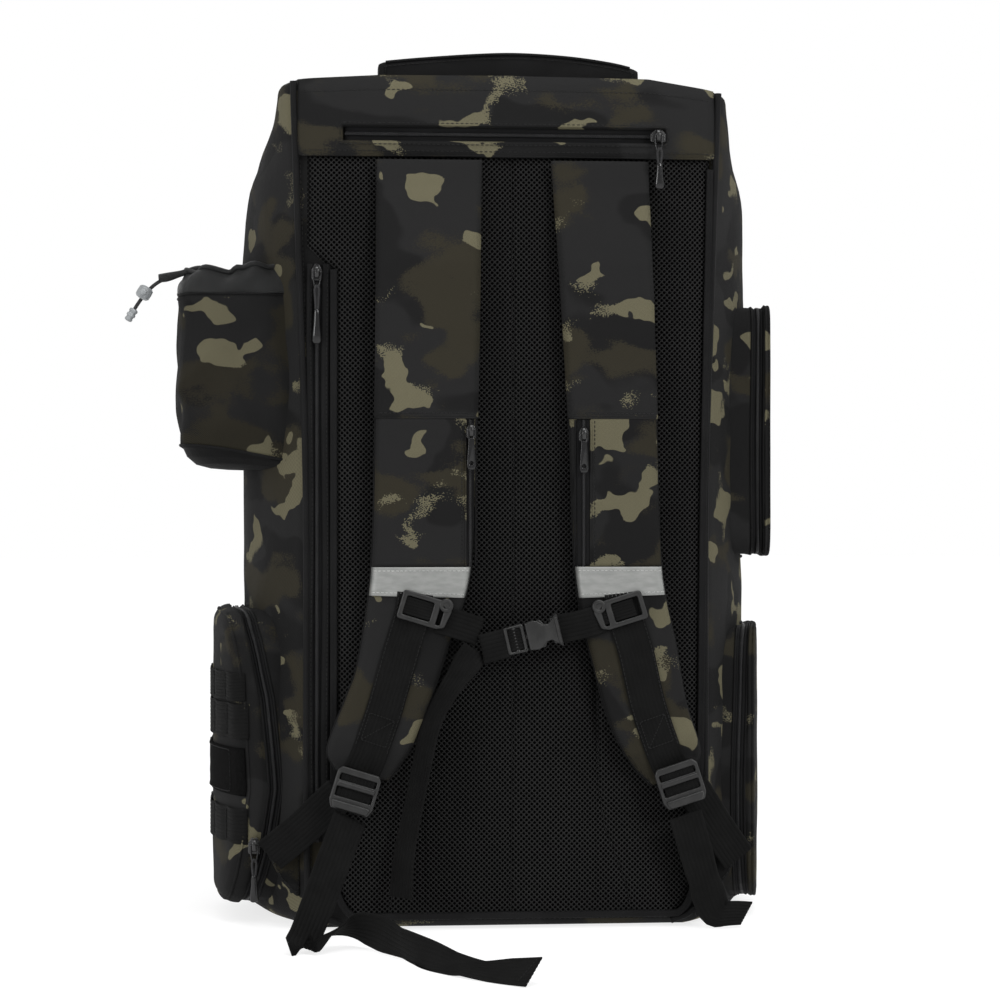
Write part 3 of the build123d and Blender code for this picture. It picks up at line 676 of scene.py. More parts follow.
def edge_inset(z, bottom_round, top_round):
    """How far the shell draws in where its bottom and top edges are rounded."""
    low = max(0.0, bottom_round - z)
    high = max(0.0, z - (top_z - top_round))
    return (bottom_round - math.sqrt(bottom_round ** 2 - low ** 2)
            + top_round - math.sqrt(max(top_round ** 2 - high ** 2, 0.0)))


def crowned(points):
    """Points near the top lifted where the stuffed top swells above its seams."""
    points = np.array(points, float)
    share = np.clip((points[:, 2] - (top_z - 24.0)) / 24.0, 0, 1)
    lift = np.interp(points[:, 0], (-150, -90, 0, 100, 150), (3.5, 7.0, 7.6, 6.4, -1.5))
    points[:, 2] += lift * share ** 2 * (3 - 2 * share)
    return points


def body_skin():
    """Sides, back, base and top in one cloth shell, open at the front for the door's frame."""
    heights = np.concatenate([[0.3, 2, 4, 7, 10, 14], np.linspace(20, top_z - 9, 82),
                              top_z - np.array([6, 4, 2, 0.2])])
    rows = []
    for z in heights:
        right = side_line(z, edge_inset(z, 14.0, 6.0))
        row = np.vstack([right, right[::-1] * (-1, 1)])
        row = np.column_stack([row, np.full(len(row), z)])
        out = np.column_stack([np.sign(row[:, 0]) * 0.95, row[:, 1] / 400, np.zeros(len(row))])
        loose = np.clip((row[:, 1] - back_y) / 30, 0, 1) * np.clip((front_y - row[:, 1]) / 30, 0, 1)
        loose = loose * np.clip(z / 30, 0, 1) * np.clip((top_z - z) / 40, 0, 1)
        sag = 3.4 * loose[:, None]
        rows.append(row + (rumpled(row, 1.0, 75.0, 3.0, out) - row) * sag)
    count = len(rows[0])
    middle = rows[-1] * (0.5, 1.0, 1.0)
    points = crowned(np.vstack(rows + [middle]))
    faces = grid_faces(len(rows) + 1, count)
    faces += [tuple(range(count)), tuple(range(len(points) - count, len(points)))]
    skin = lined(piece("body_skin", points, faces, "bag", CAMO[0]), 2.4)
    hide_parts("base_panel", "top_panel", "side_panel_left", "side_panel_right", "back_panel")


body_skin()

# ---------------------------------------------------------------- air-mesh back pad
pad_top = span("yoke_panel")[0][2] + 3.0


def channel(which, z):
    """X of a sewn channel of the back pad: 0 is the middle one, -1 and 1 are beside it."""
    if which == 0:
        return 2.0 + 2.0 * math.sin(z / 190.0)
    drift = np.interp(z, (0, 30, 70, 100, 340, 541), (88, 82, 67, 62, 59, 57))
    return 2.0 + which * float(drift)


def pad_edges(z):
    """Left and right edge of the mesh at one height, drawn in round the bottom corners."""
    low = max(0.0, 34.0 - z)
    corner = 34.0 - math.sqrt(max(34.0 ** 2 - low ** 2, 0.0))
    left = np.interp(z, (0, 30, 300), (-116, -120, -121.5)) + 0.8 * corner
    if z > 462:
        left = np.interp(z, (462, 478), (left, -139.0))
    return float(left), float(np.interp(z, (8, 30, 120, 300, 541), (128, 131, 136, 138, 143)) - 0.8 * corner)


def pad_depth(x, z):
    """Y of the mesh's outer face: crowned between the channels and drawn down at every edge."""
    left, right = pad_edges(z)
    seams = [channel(k, z) for k in (-1, 0, 1)]
    near = min(abs(x - seam) for seam in seams)
    sewn = math.exp(-(near / 3.2) ** 2) * 2.4 + math.exp(-(near / 14.0) ** 2) * 1.5
    side = min(max(x - left, 0.0), max(right - x, 0.0), max(z - 5.0, 0.0) * 0.9,
               max(pad_top - 2 - z, 0.0) * 0.7 + 1.5)
    rise = 1.0 - math.exp(-side / 9.0)
    return back_y - 1.0 - (9.6 * rise - sewn * rise) - 0.5 * noise.noise(Vector((x, z, 5.0)) / 46.0) * rise


def mesh_pad():
    """Air mesh as real knitted openings, 45 degrees to the vertical, over a dark backing."""
    pitch = 1.87
    hole = 1.0
    bounds = [-1e3, -57.0, 4.0, 62.0, 1e3]
    angles = np.radians(np.arange(0, 360, 45))
    rim = np.column_stack([np.cos(angles) * hole, np.sin(angles) * hole * 1.05])
    for number, (low, high) in enumerate(zip(bounds, bounds[1:])):
        points, faces, lookup = [], [], {}

        def corner(i, j):
            """Index of the lattice point (i, j), on the crest of the yarn."""
            key = (i, j)
            if key not in lookup:
                x, z = i * pitch / 2, j * pitch / 2
                lookup[key] = len(points)
                points.append((x, pad_depth(x, z), z))
            return lookup[key]

        rows = int(pad_top / pitch) + 1
        for j in range(4, rows):
            z = j * pitch
            left, right = pad_edges(z)
            for i in range(int(left / pitch) - 1, int(right / pitch) + 2):
                x = i * pitch
                if (i + j) % 2 or not left < x < right or not low <= x < high:
                    continue
                surface = pad_depth(x, z)
                around = [(2, 0), (1, 1), (0, 2), (-1, 1), (-2, 0), (-1, -1), (0, -2), (1, -1)]
                outer = [corner(2 * i + a, 2 * j + b) for a, b in around]
                first = len(points)
                points.extend((x + u, surface + 1.0, z + v) for u, v in rim)
                for k in range(8):
                    after = (k + 1) % 8
                    faces.append((outer[k], outer[after], first + after, first + k))
        piece(f"air_mesh_{number + 1}", points, faces, "bag", MESH)
    backing = []
    heights = np.linspace(6, pad_top, 110)
    for z in heights:
        left, right = pad_edges(z)
        backing += [(x, min(pad_depth(x, z) + 1.9, back_y - 0.5), z)
                    for x in np.linspace(left - 1, right + 1, 70)]
    sheet = piece("mesh_backing", backing, grid_faces(len(heights), 70), "bag", MESH_BACK)
    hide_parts("mesh_back_pad")
    for k in (-1, 0, 1):
        path = [(channel(k, z), pad_depth(channel(k, z), z) - 0.15, z)
                for z in np.linspace(12, pad_top - 4, 180)]
        stitches(f"channel_stitches_{k + 2}", path, (0, -1, 0), "bag", pitch=4.2, length=3.2, thick=0.28)


mesh_pad()


def edge_binding(name, path, across, width, body="bag", look=TRIM, thick=1.2):
    """A narrow bound edge: a flat tape with rolled sides."""
    return ribbon(name, path, across, width, body, look, thick=thick, ribs=2, rib_height=0.15)


def pad_trim():
    """Hem under the mesh, the bound edge beside the side zip and the piping down both back edges."""
    hem_y, hem_z, left_x = back_y - 4.5, 9.5, -121.8
    bend = np.linspace(0.1, 1.5, 12)
    hem = [(x, hem_y, hem_z) for x in np.linspace(-104, 120, 90)]
    corner_left = [(left_x, hem_y, z) for z in np.linspace(150, 44, 30)]
    bend_left = [(-121.5 + 17 * (1 - math.cos(a)), hem_y, 44 - 34.5 * math.sin(a)) for a in bend]
    bend_right = [(118 + 15 * math.sin(a), hem_y, hem_z + 30 * (1 - math.cos(a))) for a in bend]
    right = [(np.interp(z, (39, 120, 300, 541), (134, 137, 139, 144)), hem_y, z)
             for z in np.linspace(44, 540, 90)]
    left = [(left_x, hem_y, z) for z in np.linspace(462, 152, 80)]
    path = smooth_line(np.vstack([left, corner_left, bend_left, hem, bend_right, right])[::3], 520)
    forward = directions(path)
    across = np.cross(forward, (0, -1, 0))
    edge_binding("mesh_binding", path, across, 5.0, thick=2.2)
    for side in (-1, 1):
        route = smooth_line([(side * 116, back_y - 2.4, 4), (side * 132, back_y - 2.8, 12),
                             (side * 140, back_y - 2.8, 34), (side * 141, back_y - 2.8, 300),
                             (side * 145, back_y - 2.8, 440), (side * 150, back_y - 2.8, top_z - 2)], 200)
        route = crowned(route)
        name = "left" if side < 0 else "right"
        cord = tube(f"piping_{name}", route, 2.3, "bag", TRIM)
        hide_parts("piping")
        seam = route + (side * -3.0, 0.6, 0)
        stitches(f"piping_stitches_{name}", seam[6:], (0, -1, 0), "bag", pitch=3.6)


pad_trim()


# ---------------------------------------------------------------- zip along the left back edge
side_zip_x = -133.5


def side_zip():
    """Coil zip between the piping and the mesh, half under a soft placket."""
    top, bottom = 466.0, 62.0
    heights = np.linspace(top, bottom, 90)
    line = np.column_stack([np.full(90, side_zip_x), np.full(90, back_y - 1.9), heights])
    coil("side_zip_coil", line, (0, -1, 0), "bag")
    tape = ribbon("side_zip_tape", line + (3.6, 0.9, 0), (1, 0, 0), 15.0, "bag", TAPE, thick=0.9, ribs=5,
                  rib_height=0.12)
    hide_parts("zip_tapes")
    for number, (offset, width, lift) in enumerate(((-4.6, 4.4, 1.4), (6.2, 5.4, 1.0))):
        waver = 0.5 * np.sin(heights / 37.0 + number)
        path = np.column_stack([side_zip_x + offset + waver, np.full(90, back_y - 1.6 - lift), heights])
        ribbon(f"side_zip_placket_{number + 1}", path, (1, 0, 0), width, "bag", NYLON, thick=1.6, ribs=1,
               rib_height=0.5)
        stitches(f"side_zip_stitches_{number + 1}", path + (1.0, -0.9, 0), (0, -1, 0), "bag")


side_zip()


# ---------------------------------------------------------------- yoke with its zip window
yoke_low = span("yoke_panel")[0]
yoke_y = yoke_low[1]
zip_z = 557.0
zip_left, zip_right = -115.0, 111.0
zip_half = 4.6


def yoke():
    """Camouflage yoke, its zip window turned in, over the top of the mesh and straps."""
    def edge(x, z):
        """Y of the yoke at a point: drawn back at its outline and at the window's turned edge."""
        lower = yoke_low[2] - 0.8 * math.cos(x / 32.0)
        wave = 0.7 * noise.noise(Vector((x / 50.0, z / 22.0, 2.0)))
        down = math.exp(-max(z - lower, 0.0) / 1.6) * 1.2
        up = math.exp(-max(top_z - 1.0 - z, 0.0) / 5.0) * 5.0
        sides = math.exp(-max(146.0 - abs(x), 0.0) / 4.0) * 3.5
        inside = max(zip_left - x, x - zip_right, 0.0)
        rim = math.hypot(inside, max(abs(z - zip_z) - zip_half, 0.0))
        lip = -0.8 * math.exp(-((rim - 1.8) / 1.6) ** 2) + 2.6 * math.exp(-(rim / 0.7) ** 2)
        return yoke_y + down + up + sides + lip + wave

    columns = sorted(set(np.linspace(-147, 147, 148)) | {zip_left, zip_left + 1, zip_right, zip_right - 1,
                                                         zip_left - 1, zip_right + 1})
    rows = sorted(set(np.linspace(yoke_low[2], top_z - 0.5, 38)) | {zip_z + s * (zip_half + d) for s in (-1, 1)
                                                                    for d in (0.0, 0.6, 1.3, 2.2, 3.4)})
    rows = [z for z in rows if abs(z - zip_z) >= zip_half - 1e-6]
    points = [(x, edge(x, z), z) for z in rows for x in columns]
    faces = []
    count = len(columns)
    for r in range(len(rows) - 1):
        crosses = rows[r] < zip_z < rows[r + 1]
        for c in range(count - 1):
            if crosses and zip_left <= (columns[c] + columns[c + 1]) / 2 <= zip_right:
                continue
            a = r * count + c
            faces.append((a, a + 1, a + 1 + count, a + count))
    panel = thicken(piece("yoke_panel_cloth", crowned(points), faces, "bag", CAMO[1]), 1.1)
    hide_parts("yoke_panel")
    line = np.column_stack([np.linspace(zip_left + 1, zip_right - 1, 120), np.full(120, yoke_y + 3.2),
                            np.full(120, zip_z)])
    coil("yoke_zip_coil", line, (0, -1, 0), "bag")
    ribbon("yoke_zip_tape", line + (0, 0.9, 0), (0, 0, 1), 13.0, "bag", TAPE, thick=0.9, ribs=5,
           rib_height=0.12)
    outline = rounded([(zip_left - 2.4, zip_z - 7.4), (zip_right + 2.4, zip_z - 7.4),
                       (zip_right + 2.4, zip_z + 7.4), (zip_left - 2.4, zip_z + 7.4)], 2.0)
    outline = np.vstack([outline, outline[:1]])
    path = [(x, edge(x, z) - 0.1, z) for x, z in evenly(outline, 300)]
    stitches("yoke_window_stitches", path, (0, -1, 0), "bag")
    for number, z in enumerate((yoke_low[2] + 3.4, top_z - 9.0)):
        path = [(x, edge(x, z) - 0.1, z) for x in np.linspace(-143, 143, 200)]
        stitches(f"yoke_edge_stitches_{number + 1}", crowned(path), (0, -1, 0), "bag")
    lower_edge = [(x, edge(x, yoke_low[2] + 0.6) + 0.6, yoke_low[2] + 0.4) for x in np.linspace(-144, 144, 160)]
    tube("yoke_fold", lower_edge, 0.9, "bag", CAMO[1])


yoke()


# ================================================================ shoulder straps
strap_back = span("strap_pad_left")[1][1]
strap_face = span("strap_pad_left")[0][1]
strap_top = 538.0
fold_z = 358.0
band_low, band_high = 234.5, 254.5
strap_edges = {
    "left": ([(-91, strap_top), (-93, 360), (-96, 254), (-105, 190), (-113, 165), (-126, 130), (-121, 114)],
             [(-20, strap_top), (-23, 360), (-27, 254), (-42, 202), (-55, 162), (-68, 130), (-84, 106)]),
    "right": ([(97, strap_top), (103, 360), (107, 254), (117, 200), (124, 160), (134, 128), (132, 116)],
              [(31, strap_top), (42, 360), (47, 245), (62, 175), (72, 142), (86, 117), (101, 101)]),
}
strap_middle = {"left": [(-66, 236), (-68, 222), (-76, 195), (-86, 160), (-97, 127), (-103, 112)],
                "right": [(78, 236), (80, 222), (88, 195), (96, 160), (107, 127), (115, 110)]}


class Strap:
    """One padded shoulder strap, measured across from its outer to its inner edge."""

    def __init__(self, side):
        self.side = side
        self.curves = [smooth_line([(x, 0, z) for x, z in edge], 400)[:, ::2] for edge in strap_edges[side]]

    def edges_at(self, t):
        """Both edge points a share t of the way down: level above the sternum strap, slanted below it."""
        level = 250.0
        split = 0.66
        points = []
        for curve in self.curves:
            if t <= split:
                z = strap_top + (level - strap_top) * t / split
                points.append(np.array((np.interp(-z, -curve[:, 1], curve[:, 0]), z)))
            else:
                rest = curve[curve[:, 1] <= level]
                index = (t - split) / (1 - split) * (len(rest) - 1)
                points.append(np.array([np.interp(index, np.arange(len(rest)), rest[:, k]) for k in (0, 1)]))
        return points

    def share(self, z):
        """The share t of a height, above the sternum strap."""
        return (strap_top - z) / (strap_top - 250.0) * 0.66

    def thickness(self, t, z):
        """Full padding, thinned where the strap enters the yoke and at its lower end."""
        full = strap_back - strap_face
        upper = np.interp(z, (466, 519, strap_top), (full, 3.2, 2.2))
        return float(min(upper, np.interp(t, (0.94, 1.0), (full, full * 0.5))))

    def face(self, t, s, lift=0.0):
        """Point of the padded face: a share t down and a share s across, lifted off it."""
        outer, inner = self.edges_at(t)
        x, z = outer + (inner - outer) * s
        width = np.linalg.norm(inner - outer)
        thick = self.thickness(t, z)
        corner = min(4.2, thick * 0.6)
        near = min(s, 1 - s) * width
        drop = corner - math.sqrt(max(corner ** 2 - max(corner - near, 0.0) ** 2, 0.0))
        crown = 1.3 * (1 - (2 * s - 1) ** 2) * min(1.0, thick / 9.0)
        soft = 0.75 * noise.noise(Vector((x / 30.0, z / 24.0, 7.0 if self.side == "left" else 13.0)))
        pull = 0.5 * math.sin(z / 8.5) * math.exp(-near / 5.0)
        return np.array((x, strap_back - thick - crown - soft - pull + drop - lift, z))

    def inner_share(self, z, x):
        """The share across of an X at a height."""
        outer, inner = self.edges_at(self.share(z))
        return float((x - outer[0]) / (inner[0] - outer[0]))

    def side_point(self, t, s, height):
        """A point of the strap's edge, at a share of its thickness from the back."""
        outer, inner = self.edges_at(t)
        x, z = outer + (inner - outer) * s
        return np.array((x, strap_back - self.thickness(t, z) * height, z))


def strap_cover(strap, name, start, stop, lift, cloth, rows):
    """Camouflage cover over the face and round both edges, between two shares of the strap."""
    shares = np.concatenate([[0.0, 0.008, 0.022, 0.045], np.linspace(0.08, 0.92, 22),
                             [0.955, 0.978, 0.992, 1.0]])
    points = []
    for t in np.linspace(start, stop, rows):
        outer, inner = strap.edges_at(t)
        across = unit(inner - outer)
        left, right = strap.side_point(t, 0.0, 0.42), strap.side_point(t, 1.0, 0.42)
        row = [left] + [strap.face(t, s, lift) for s in shares] + [right]
        row = np.array(row)
        row[:2, 0] -= across[0] * lift
        row[-2:, 0] += across[0] * lift
        points.append(row)
    count = len(points[0])
    cover = piece(name, np.vstack(points), grid_faces(rows, count), "harness", cloth)
    return thicken(cover, 0.9)


def strap_pad(strap, cloth_upper, cloth_lower):
    """Foam in air mesh, with the camouflage cover in two lengths and a bound seam along each edge."""
    rings = []
    shares = np.linspace(0, 1, 15)
    for t in np.linspace(0, 1, 110):
        front = [strap.side_point(t, s, 0.42 if s in (0.0, 1.0) else 0.7) + (0, 0, 0) for s in shares]
        back = [strap.side_point(t, s, 0.0) + (0, 1.2 * math.sin(math.pi * s) - 1.4, 0) for s in shares[::-1]]
        back[0] = strap.side_point(t, 1.0, 0.14)
        back[-1] = strap.side_point(t, 0.0, 0.14)
        rings.append(np.array(front + back))
    pad = loft(f"strap_padding_{strap.side}", rings, "harness", MESH)
    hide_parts(f"strap_pad_{strap.side}")
    fold = strap.share(fold_z)
    strap_cover(strap, f"strap_cover_upper_{strap.side}", 0.0, fold, 1.2, cloth_upper, 90)
    strap_cover(strap, f"strap_cover_lower_{strap.side}", fold - 0.012, 1.0, 0.0, cloth_lower, 130)
    for edge, s in (("outer", 0.0), ("inner", 1.0)):
        path = [strap.side_point(t, s, 0.42) for t in np.linspace(0.0, 1.0, 220)]
        tube(f"strap_seam_{strap.side}_{edge}", path, 0.9, "harness", TRIM, sides=8)
    hem = [strap.face(fold, s, 1.2) + (0, 0.5, 0) for s in np.linspace(0.0, 1.0, 40)]
    tube(f"strap_fold_{strap.side}", hem, 0.75, "harness", cloth_upper, sides=8)
    row = [strap.face(strap.share(fold_z + 3.2), s, 1.35) for s in np.linspace(0.03, 0.97, 40)]
    stitches(f"strap_fold_stitches_{strap.side}", row, (0, -1, 0), "harness", pitch=3.0, length=2.2)


def strap_patch(strap, name, low, high, start, stop, lift, look, thick, body="harness", columns=30, rows=40):
    """A cloth layer over part of the strap's face. start and stop give the shares across at a height."""
    points = []
    for z in np.linspace(high, low, rows):
        t = strap.share(z)
        for s in np.linspace(start(z), stop(z), columns):
            near_side = min(s, 1 - s)
            rolled = lift * min(1.0, near_side / 0.03 + 0.35)
            points.append(strap.face(t, min(max(s, 0.0), 1.0), rolled))
    return thicken(piece(name, points, grid_faces(rows, columns), body, look), thick)


def strap_pocket(strap, zip_outer, zip_inner, cloth):
    """Flat phone pocket on the strap, its coil zip beside it, under a band of reflective tape."""
    side = strap.side
    low, high = band_high + 0.5, fold_z - 0.4
    panel = strap_patch(strap, f"strap_pocket_panel_{side}", low, high, lambda z: 0.0,
                        lambda z: strap.inner_share(z, zip_outer), 1.1, cloth, 0.9)
    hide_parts(f"strap_pocket_{side}")
    middle = (zip_outer + zip_inner) / 2
    strap_patch(strap, f"strap_zip_tape_{side}", low, high, lambda z: strap.inner_share(z, zip_outer) - 0.01,
                lambda z: strap.inner_share(z, zip_inner), 0.35, TAPE, 0.4, columns=8)
    heights = np.linspace(high - 1, low, 60)
    line = [strap.face(strap.share(z), strap.inner_share(z, middle), 0.45) for z in heights]
    coil(f"strap_zip_coil_{side}", line, (0, -1, 0), "harness", pitch=1.1, half=1.25)
    fold = [strap.face(strap.share(z), strap.inner_share(z, zip_outer), 0.9) for z in heights]
    tube(f"strap_pocket_fold_{side}", fold, 0.7, "harness", cloth, sides=8)
    toward = 1.0 if zip_inner > zip_outer else -1.0
    row = [strap.face(strap.share(z), strap.inner_share(z, zip_outer - toward * 2.6), 1.2) for z in heights]
    stitches(f"strap_pocket_stitches_{side}", row, (0, -1, 0), "harness", pitch=3.0, length=2.2)
    piping = [strap.face(strap.share(z), strap.inner_share(z, zip_inner + toward * 0.9), 0.3) for z in heights]
    tube(f"strap_zip_piping_{side}", piping, 0.8, "harness", TRIM, sides=8)


def reflective_band(strap):
    """Silver tape right across the strap, sewn down along both edges."""
    side = strap.side
    band = strap_patch(strap, f"reflective_band_{side}", band_low, band_high, lambda z: 0.0, lambda z: 1.0, 1.5,
                       SILVER, 0.5, columns=44, rows=16)
    if side == "left":
        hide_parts("reflective_bands")
    for place, z in (("upper", band_high - 2.6), ("lower", band_low + 2.4)):
        row = [strap.face(strap.share(z), s, 1.55) for s in np.linspace(0.02, 0.98, 60)]
        stitches(f"band_stitches_{side}_{place}", row, (0, -1, 0), "harness", WHITE_THREAD, 3.1, 2.3, 0.3)


def strap_webbing(strap):
    """Webbing sewn down the lower strap, with its stitched edges and a boxed bar tack."""
    side = strap.side

    def on_pad(x, z, lift):
        """The face point nearest to an X and Z on the slanted lower strap."""
        best = min(((strap.edges_at(t), t) for t in np.linspace(0.6, 1.0, 161)),
                   key=lambda item: abs(np.cross(item[0][1] - item[0][0], np.array((x, z)) - item[0][0])))
        (outer, inner), t = best
        s = np.dot(np.array((x, z)) - outer, inner - outer) / np.dot(inner - outer, inner - outer)
        return strap.face(t, float(np.clip(s, 0.0, 1.0)), lift)

    route = smooth_line([(x, 0, z) for x, z in strap_middle[side]], 60)
    path = np.array([on_pad(x, z, 1.0) for x, _, z in route])
    path[:, 1] = np.convolve(np.pad(path[:, 1], 4, mode="edge"), np.ones(9) / 9, mode="valid")
    forward = directions(path)
    across = unit(np.cross(forward, (0, -1, 0)))
    web = ribbon(f"strap_webbing_{side}", path, across, 25.0, "harness", WEBBING, thick=1.6, ribs=9)
    if side == "left":
        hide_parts("strap_webbings")
    for edge in (-1, 1):
        row = (path + across * edge * 11.3)[:52] + (0, -0.95, 0)
        stitches(f"strap_webbing_stitches_{side}_{'outer' if edge < 0 else 'inner'}", row, (0, -1, 0),
                 "harness", pitch=3.2)
    box = path[40:50:9]
    low, high = box[0], box[-1]
    side_way = across[45]
    loop = [low - side_way * 9, low + side_way * 9, high + side_way * 9, high - side_way * 9,
            low - side_way * 9, high + side_way * 9]
    stitches(f"strap_box_tack_{side}", evenly(np.array(loop) + (0, -0.95, 0), 120), (0, -1, 0), "harness",
             pitch=2.2, length=1.8, thick=0.36)


straps = {side: Strap(side) for side in ("left", "right")}
for side, cloths in (("left", (CAMO[2], CAMO[3])), ("right", (CAMO[4], CAMO[5]))):
    strap_pad(straps[side], *cloths)
    reflective_band(straps[side])
    strap_webbing(straps[side])
strap_pocket(straps["left"], -31.0, -24.6, CAMO[3])
strap_pocket(straps["right"], 56.5, 46.6, CAMO[5])


# ================================================================ moulded hardware
def ladder_lock(side, centre, tilt):
    """Ladder lock: frame with two windows, a raised lip to lift it by, and webbing round its bars."""
    plane = Plane(centre, tilt)
    body = f"ladder_lock_{side}"
    frame_outline = rounded([(-13.2, -15.8), (13.2, -15.8), (15.6, -10.5), (15.6, 10.2), (13.0, 13.6),
                             (-13.0, 13.6), (-15.6, 10.2), (-15.6, -10.5)], 2.4)
    upper = oblong(0, 6.6, 26, 4.6, 1.0)
    lower = oblong(0, -3.6, 26, 6.6, 1.0)
    shown = plate(f"ladder_lock_{side}_frame", [frame_outline, upper, lower], plane, 0.4, 4.4, 1.0, body,
                  PLASTIC)
    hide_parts(f"ladder_lock_{side}")
    lip = rounded([(-11.6, -15.2), (11.6, -15.2), (14.4, -9.6), (-14.4, -9.6)], 1.6)
    plate(f"ladder_lock_{side}_lip", [lip], plane, 2.6, 6.6, 1.2, body, PLASTIC)
    plate(f"ladder_lock_{side}_bar", [oblong(0, 1.6, 27, 3.6, 1.2)], plane, 2.6, 5.4, 1.1, body, PLASTIC)
    for place, v, tall in (("upper", 6.6, 7.4), ("lower", -3.6, 8.0)):
        path = [plane.at(0, v + dv, 2.6 - 0.03 * dv * dv) for dv in np.linspace(tall / 2, -tall / 2, 10)]
        ribbon(f"ladder_lock_{side}_webbing_{place}", path, plane.right, 24.4, body, WEBBING, thick=1.5)


def sternum_slider(side, centre, tilt):
    """Slider of the chest strap: a flat loop round the strap webbing with an ear for the chest webbing."""
    plane = Plane(centre, tilt)
    inward = 1 if side == "left" else -1
    body = f"sternum_slider_{side}"
    outline = rounded([(-inward * 16.8, -10.2), (inward * 12.0, -10.2), (inward * 17.2, -8.0),
                       (inward * 19.2, 4.0), (inward * 17.4, 10.2), (-inward * 16.8, 10.2)][::inward], 2.6)
    window = oblong(-inward * 3.6, 0, 19.5, 13.6, 1.4)
    slot = oblong(inward * 12.2, -0.6, 3.2, 13.4, 1.2)
    shown = plate(f"sternum_slider_{side}_frame", [outline, window, slot], plane, 0.2, 3.8, 1.0, body, PLASTIC)
    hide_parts(f"sternum_slider_{side}")
    angles = np.linspace(0, 2 * math.pi, 28, endpoint=False)
    eye = [(inward * 14.4 + 4.8 * math.cos(a), 7.4 + 4.8 * math.sin(a)) for a in angles]
    hole = [(inward * 14.4 + 2.1 * math.cos(a), 7.4 + 2.1 * math.sin(a)) for a in angles]
    plate(f"sternum_slider_{side}_ear", [eye, hole], plane, 0.6, 4.4, 1.0, body, PLASTIC)
    path = [plane.at(u, 0, 1.9) for u in np.linspace(-15.5, 9.5, 14)]
    ribbon(f"sternum_slider_{side}_webbing", path, plane.up, 12.6, body, WEBBING, thick=1.5, ribs=6)


ladder_lock("left", (-107.5, -132.2, 101.0), -17)
ladder_lock("right", (118.5, -132.2, 104.0), 18)
sternum_slider("left", (-60.5, -132.4, 225.0), -17)
sternum_slider("right", (77.5, -132.4, 224.0), 17)


def buckle():
    """Side-release buckle: curved housing with finger notches, prongs, and the adjuster's window."""
    plane = Plane((15.6, -134.6, 207.0), 13.0)
    notch = [(5.0, 9.2), (8.0, 6.2), (12.0, 5.6), (15.5, 8.6)]
    top = [(-4.3, 9.4), (2.0, 10.2)] + notch + [(19.2, 12.0), (19.2, 9.0)]
    outline = rounded(top + [(u, -v) for u, v in top[::-1]], 1.2)
    for place, low, high in (("front", 1.4, 3.9), ("back", -3.6, -2.2)):
        plate(f"buckle_housing_{place}", [outline], plane, low, high, 0.9, "sternum", PLASTIC)
    block = plate("buckle_housing_core", [oblong(16.4, 0, 5.4, 18.0, 1.0)], plane, -2.6, 1.8, 0.4, "sternum",
                  PLASTIC)
    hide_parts("buckle_female")
    plate("buckle_ridge", [oblong(17.6, 0, 2.4, 18.4, 1.0)], plane, 2.8, 4.8, 0.9, "sternum", PLASTIC)
    frame_outline = rounded([(-19.6, -9.6), (-5.4, -10.0), (-5.4, 10.0), (-19.6, 9.6)], 1.8)
    windows = [oblong(-15.4, 0, 3.4, 15.6, 0.8), oblong(-9.6, 0, 3.4, 15.6, 0.8)]
    male = plate("buckle_adjuster", [frame_outline] + windows, plane, -2.8, 2.8, 1.2, "buckle_male", PLASTIC)
    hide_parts("buckle_male")
    plate("buckle_tongue", [oblong(2.0, 0, 14.8, 3.0, 1.0)], plane, -1.4, 1.2, 0.5, "buckle_male", PLASTIC)
    for sign, place in ((1, "upper"), (-1, "lower")):
        hook = [(-4.6, 3.6), (9.0, 3.6), (9.2, 6.0), (6.8, 9.8), (2.6, 9.2), (-1.0, 6.2), (-4.6, 6.0)]
        prong = rounded([(u, sign * v) for u, v in hook][::sign], 0.8)
        shown = plate(f"buckle_prong_{place}_arm", [prong], plane, -1.7, 1.2, 0.7, f"buckle_prong_{place}",
                      PLASTIC)
        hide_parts(f"buckle_prong_{place}")
    path = [plane.at(u, 0, 0.6 + 1.6 * math.cos((u + 12.5) / 3.4)) for u in np.linspace(-19.0, -6.2, 24)]
    ribbon("buckle_adjuster_webbing", path, plane.up, 15.0, "buckle_male", WEBBING, thick=1.3, ribs=7)
    return plane


buckle_plane = buckle()


# ---------------------------------------------------------------- chest strap webbing
def chest_webbing():
    """Folded webbing at the adjuster and the two short lengths to the sliders."""
    plane = buckle_plane
    fold_path = smooth_line([plane.at(-19.0, -0.6, 1.2), plane.at(-26.0, -0.8, 2.0), plane.at(-33.0, -1.0, 1.8),
                             plane.at(-36.6, -1.2, 0.2), plane.at(-34.0, -1.4, -1.2),
                             plane.at(-26.0, -1.2, -1.6), plane.at(-19.0, -1.0, -1.2)], 44)
    fold = ribbon("sternum_fold_webbing", fold_path, plane.up, 20.4, "buckle_male", WEBBING, thick=1.3, ribs=7)
    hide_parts("sternum_fold")
    left_path = smooth_line([(-21.0, -131.6, 209.4), (-30.0, -132.0, 212.6), (-40.0, -132.2, 215.8),
                             (-50.0, -131.6, 218.8)], 30)
    left = ribbon("sternum_web_left", left_path, (0.16, -0.05, 0.98), 20.0, None, WEBBING, ribs=7)
    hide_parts("sternum_webbing_left")
    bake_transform(left)
    right_path = smooth_line([(33.5, -134.2, 211.4), (45.0, -134.8, 213.6), (56.0, -134.4, 216.2),
                              (65.0, -133.4, 219.2)], 30)
    right = ribbon("sternum_web_right", right_path, (-0.18, -0.05, 0.98), 20.0, None, WEBBING, ribs=7)
    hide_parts("sternum_webbing_right")
    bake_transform(right)


chest_webbing()


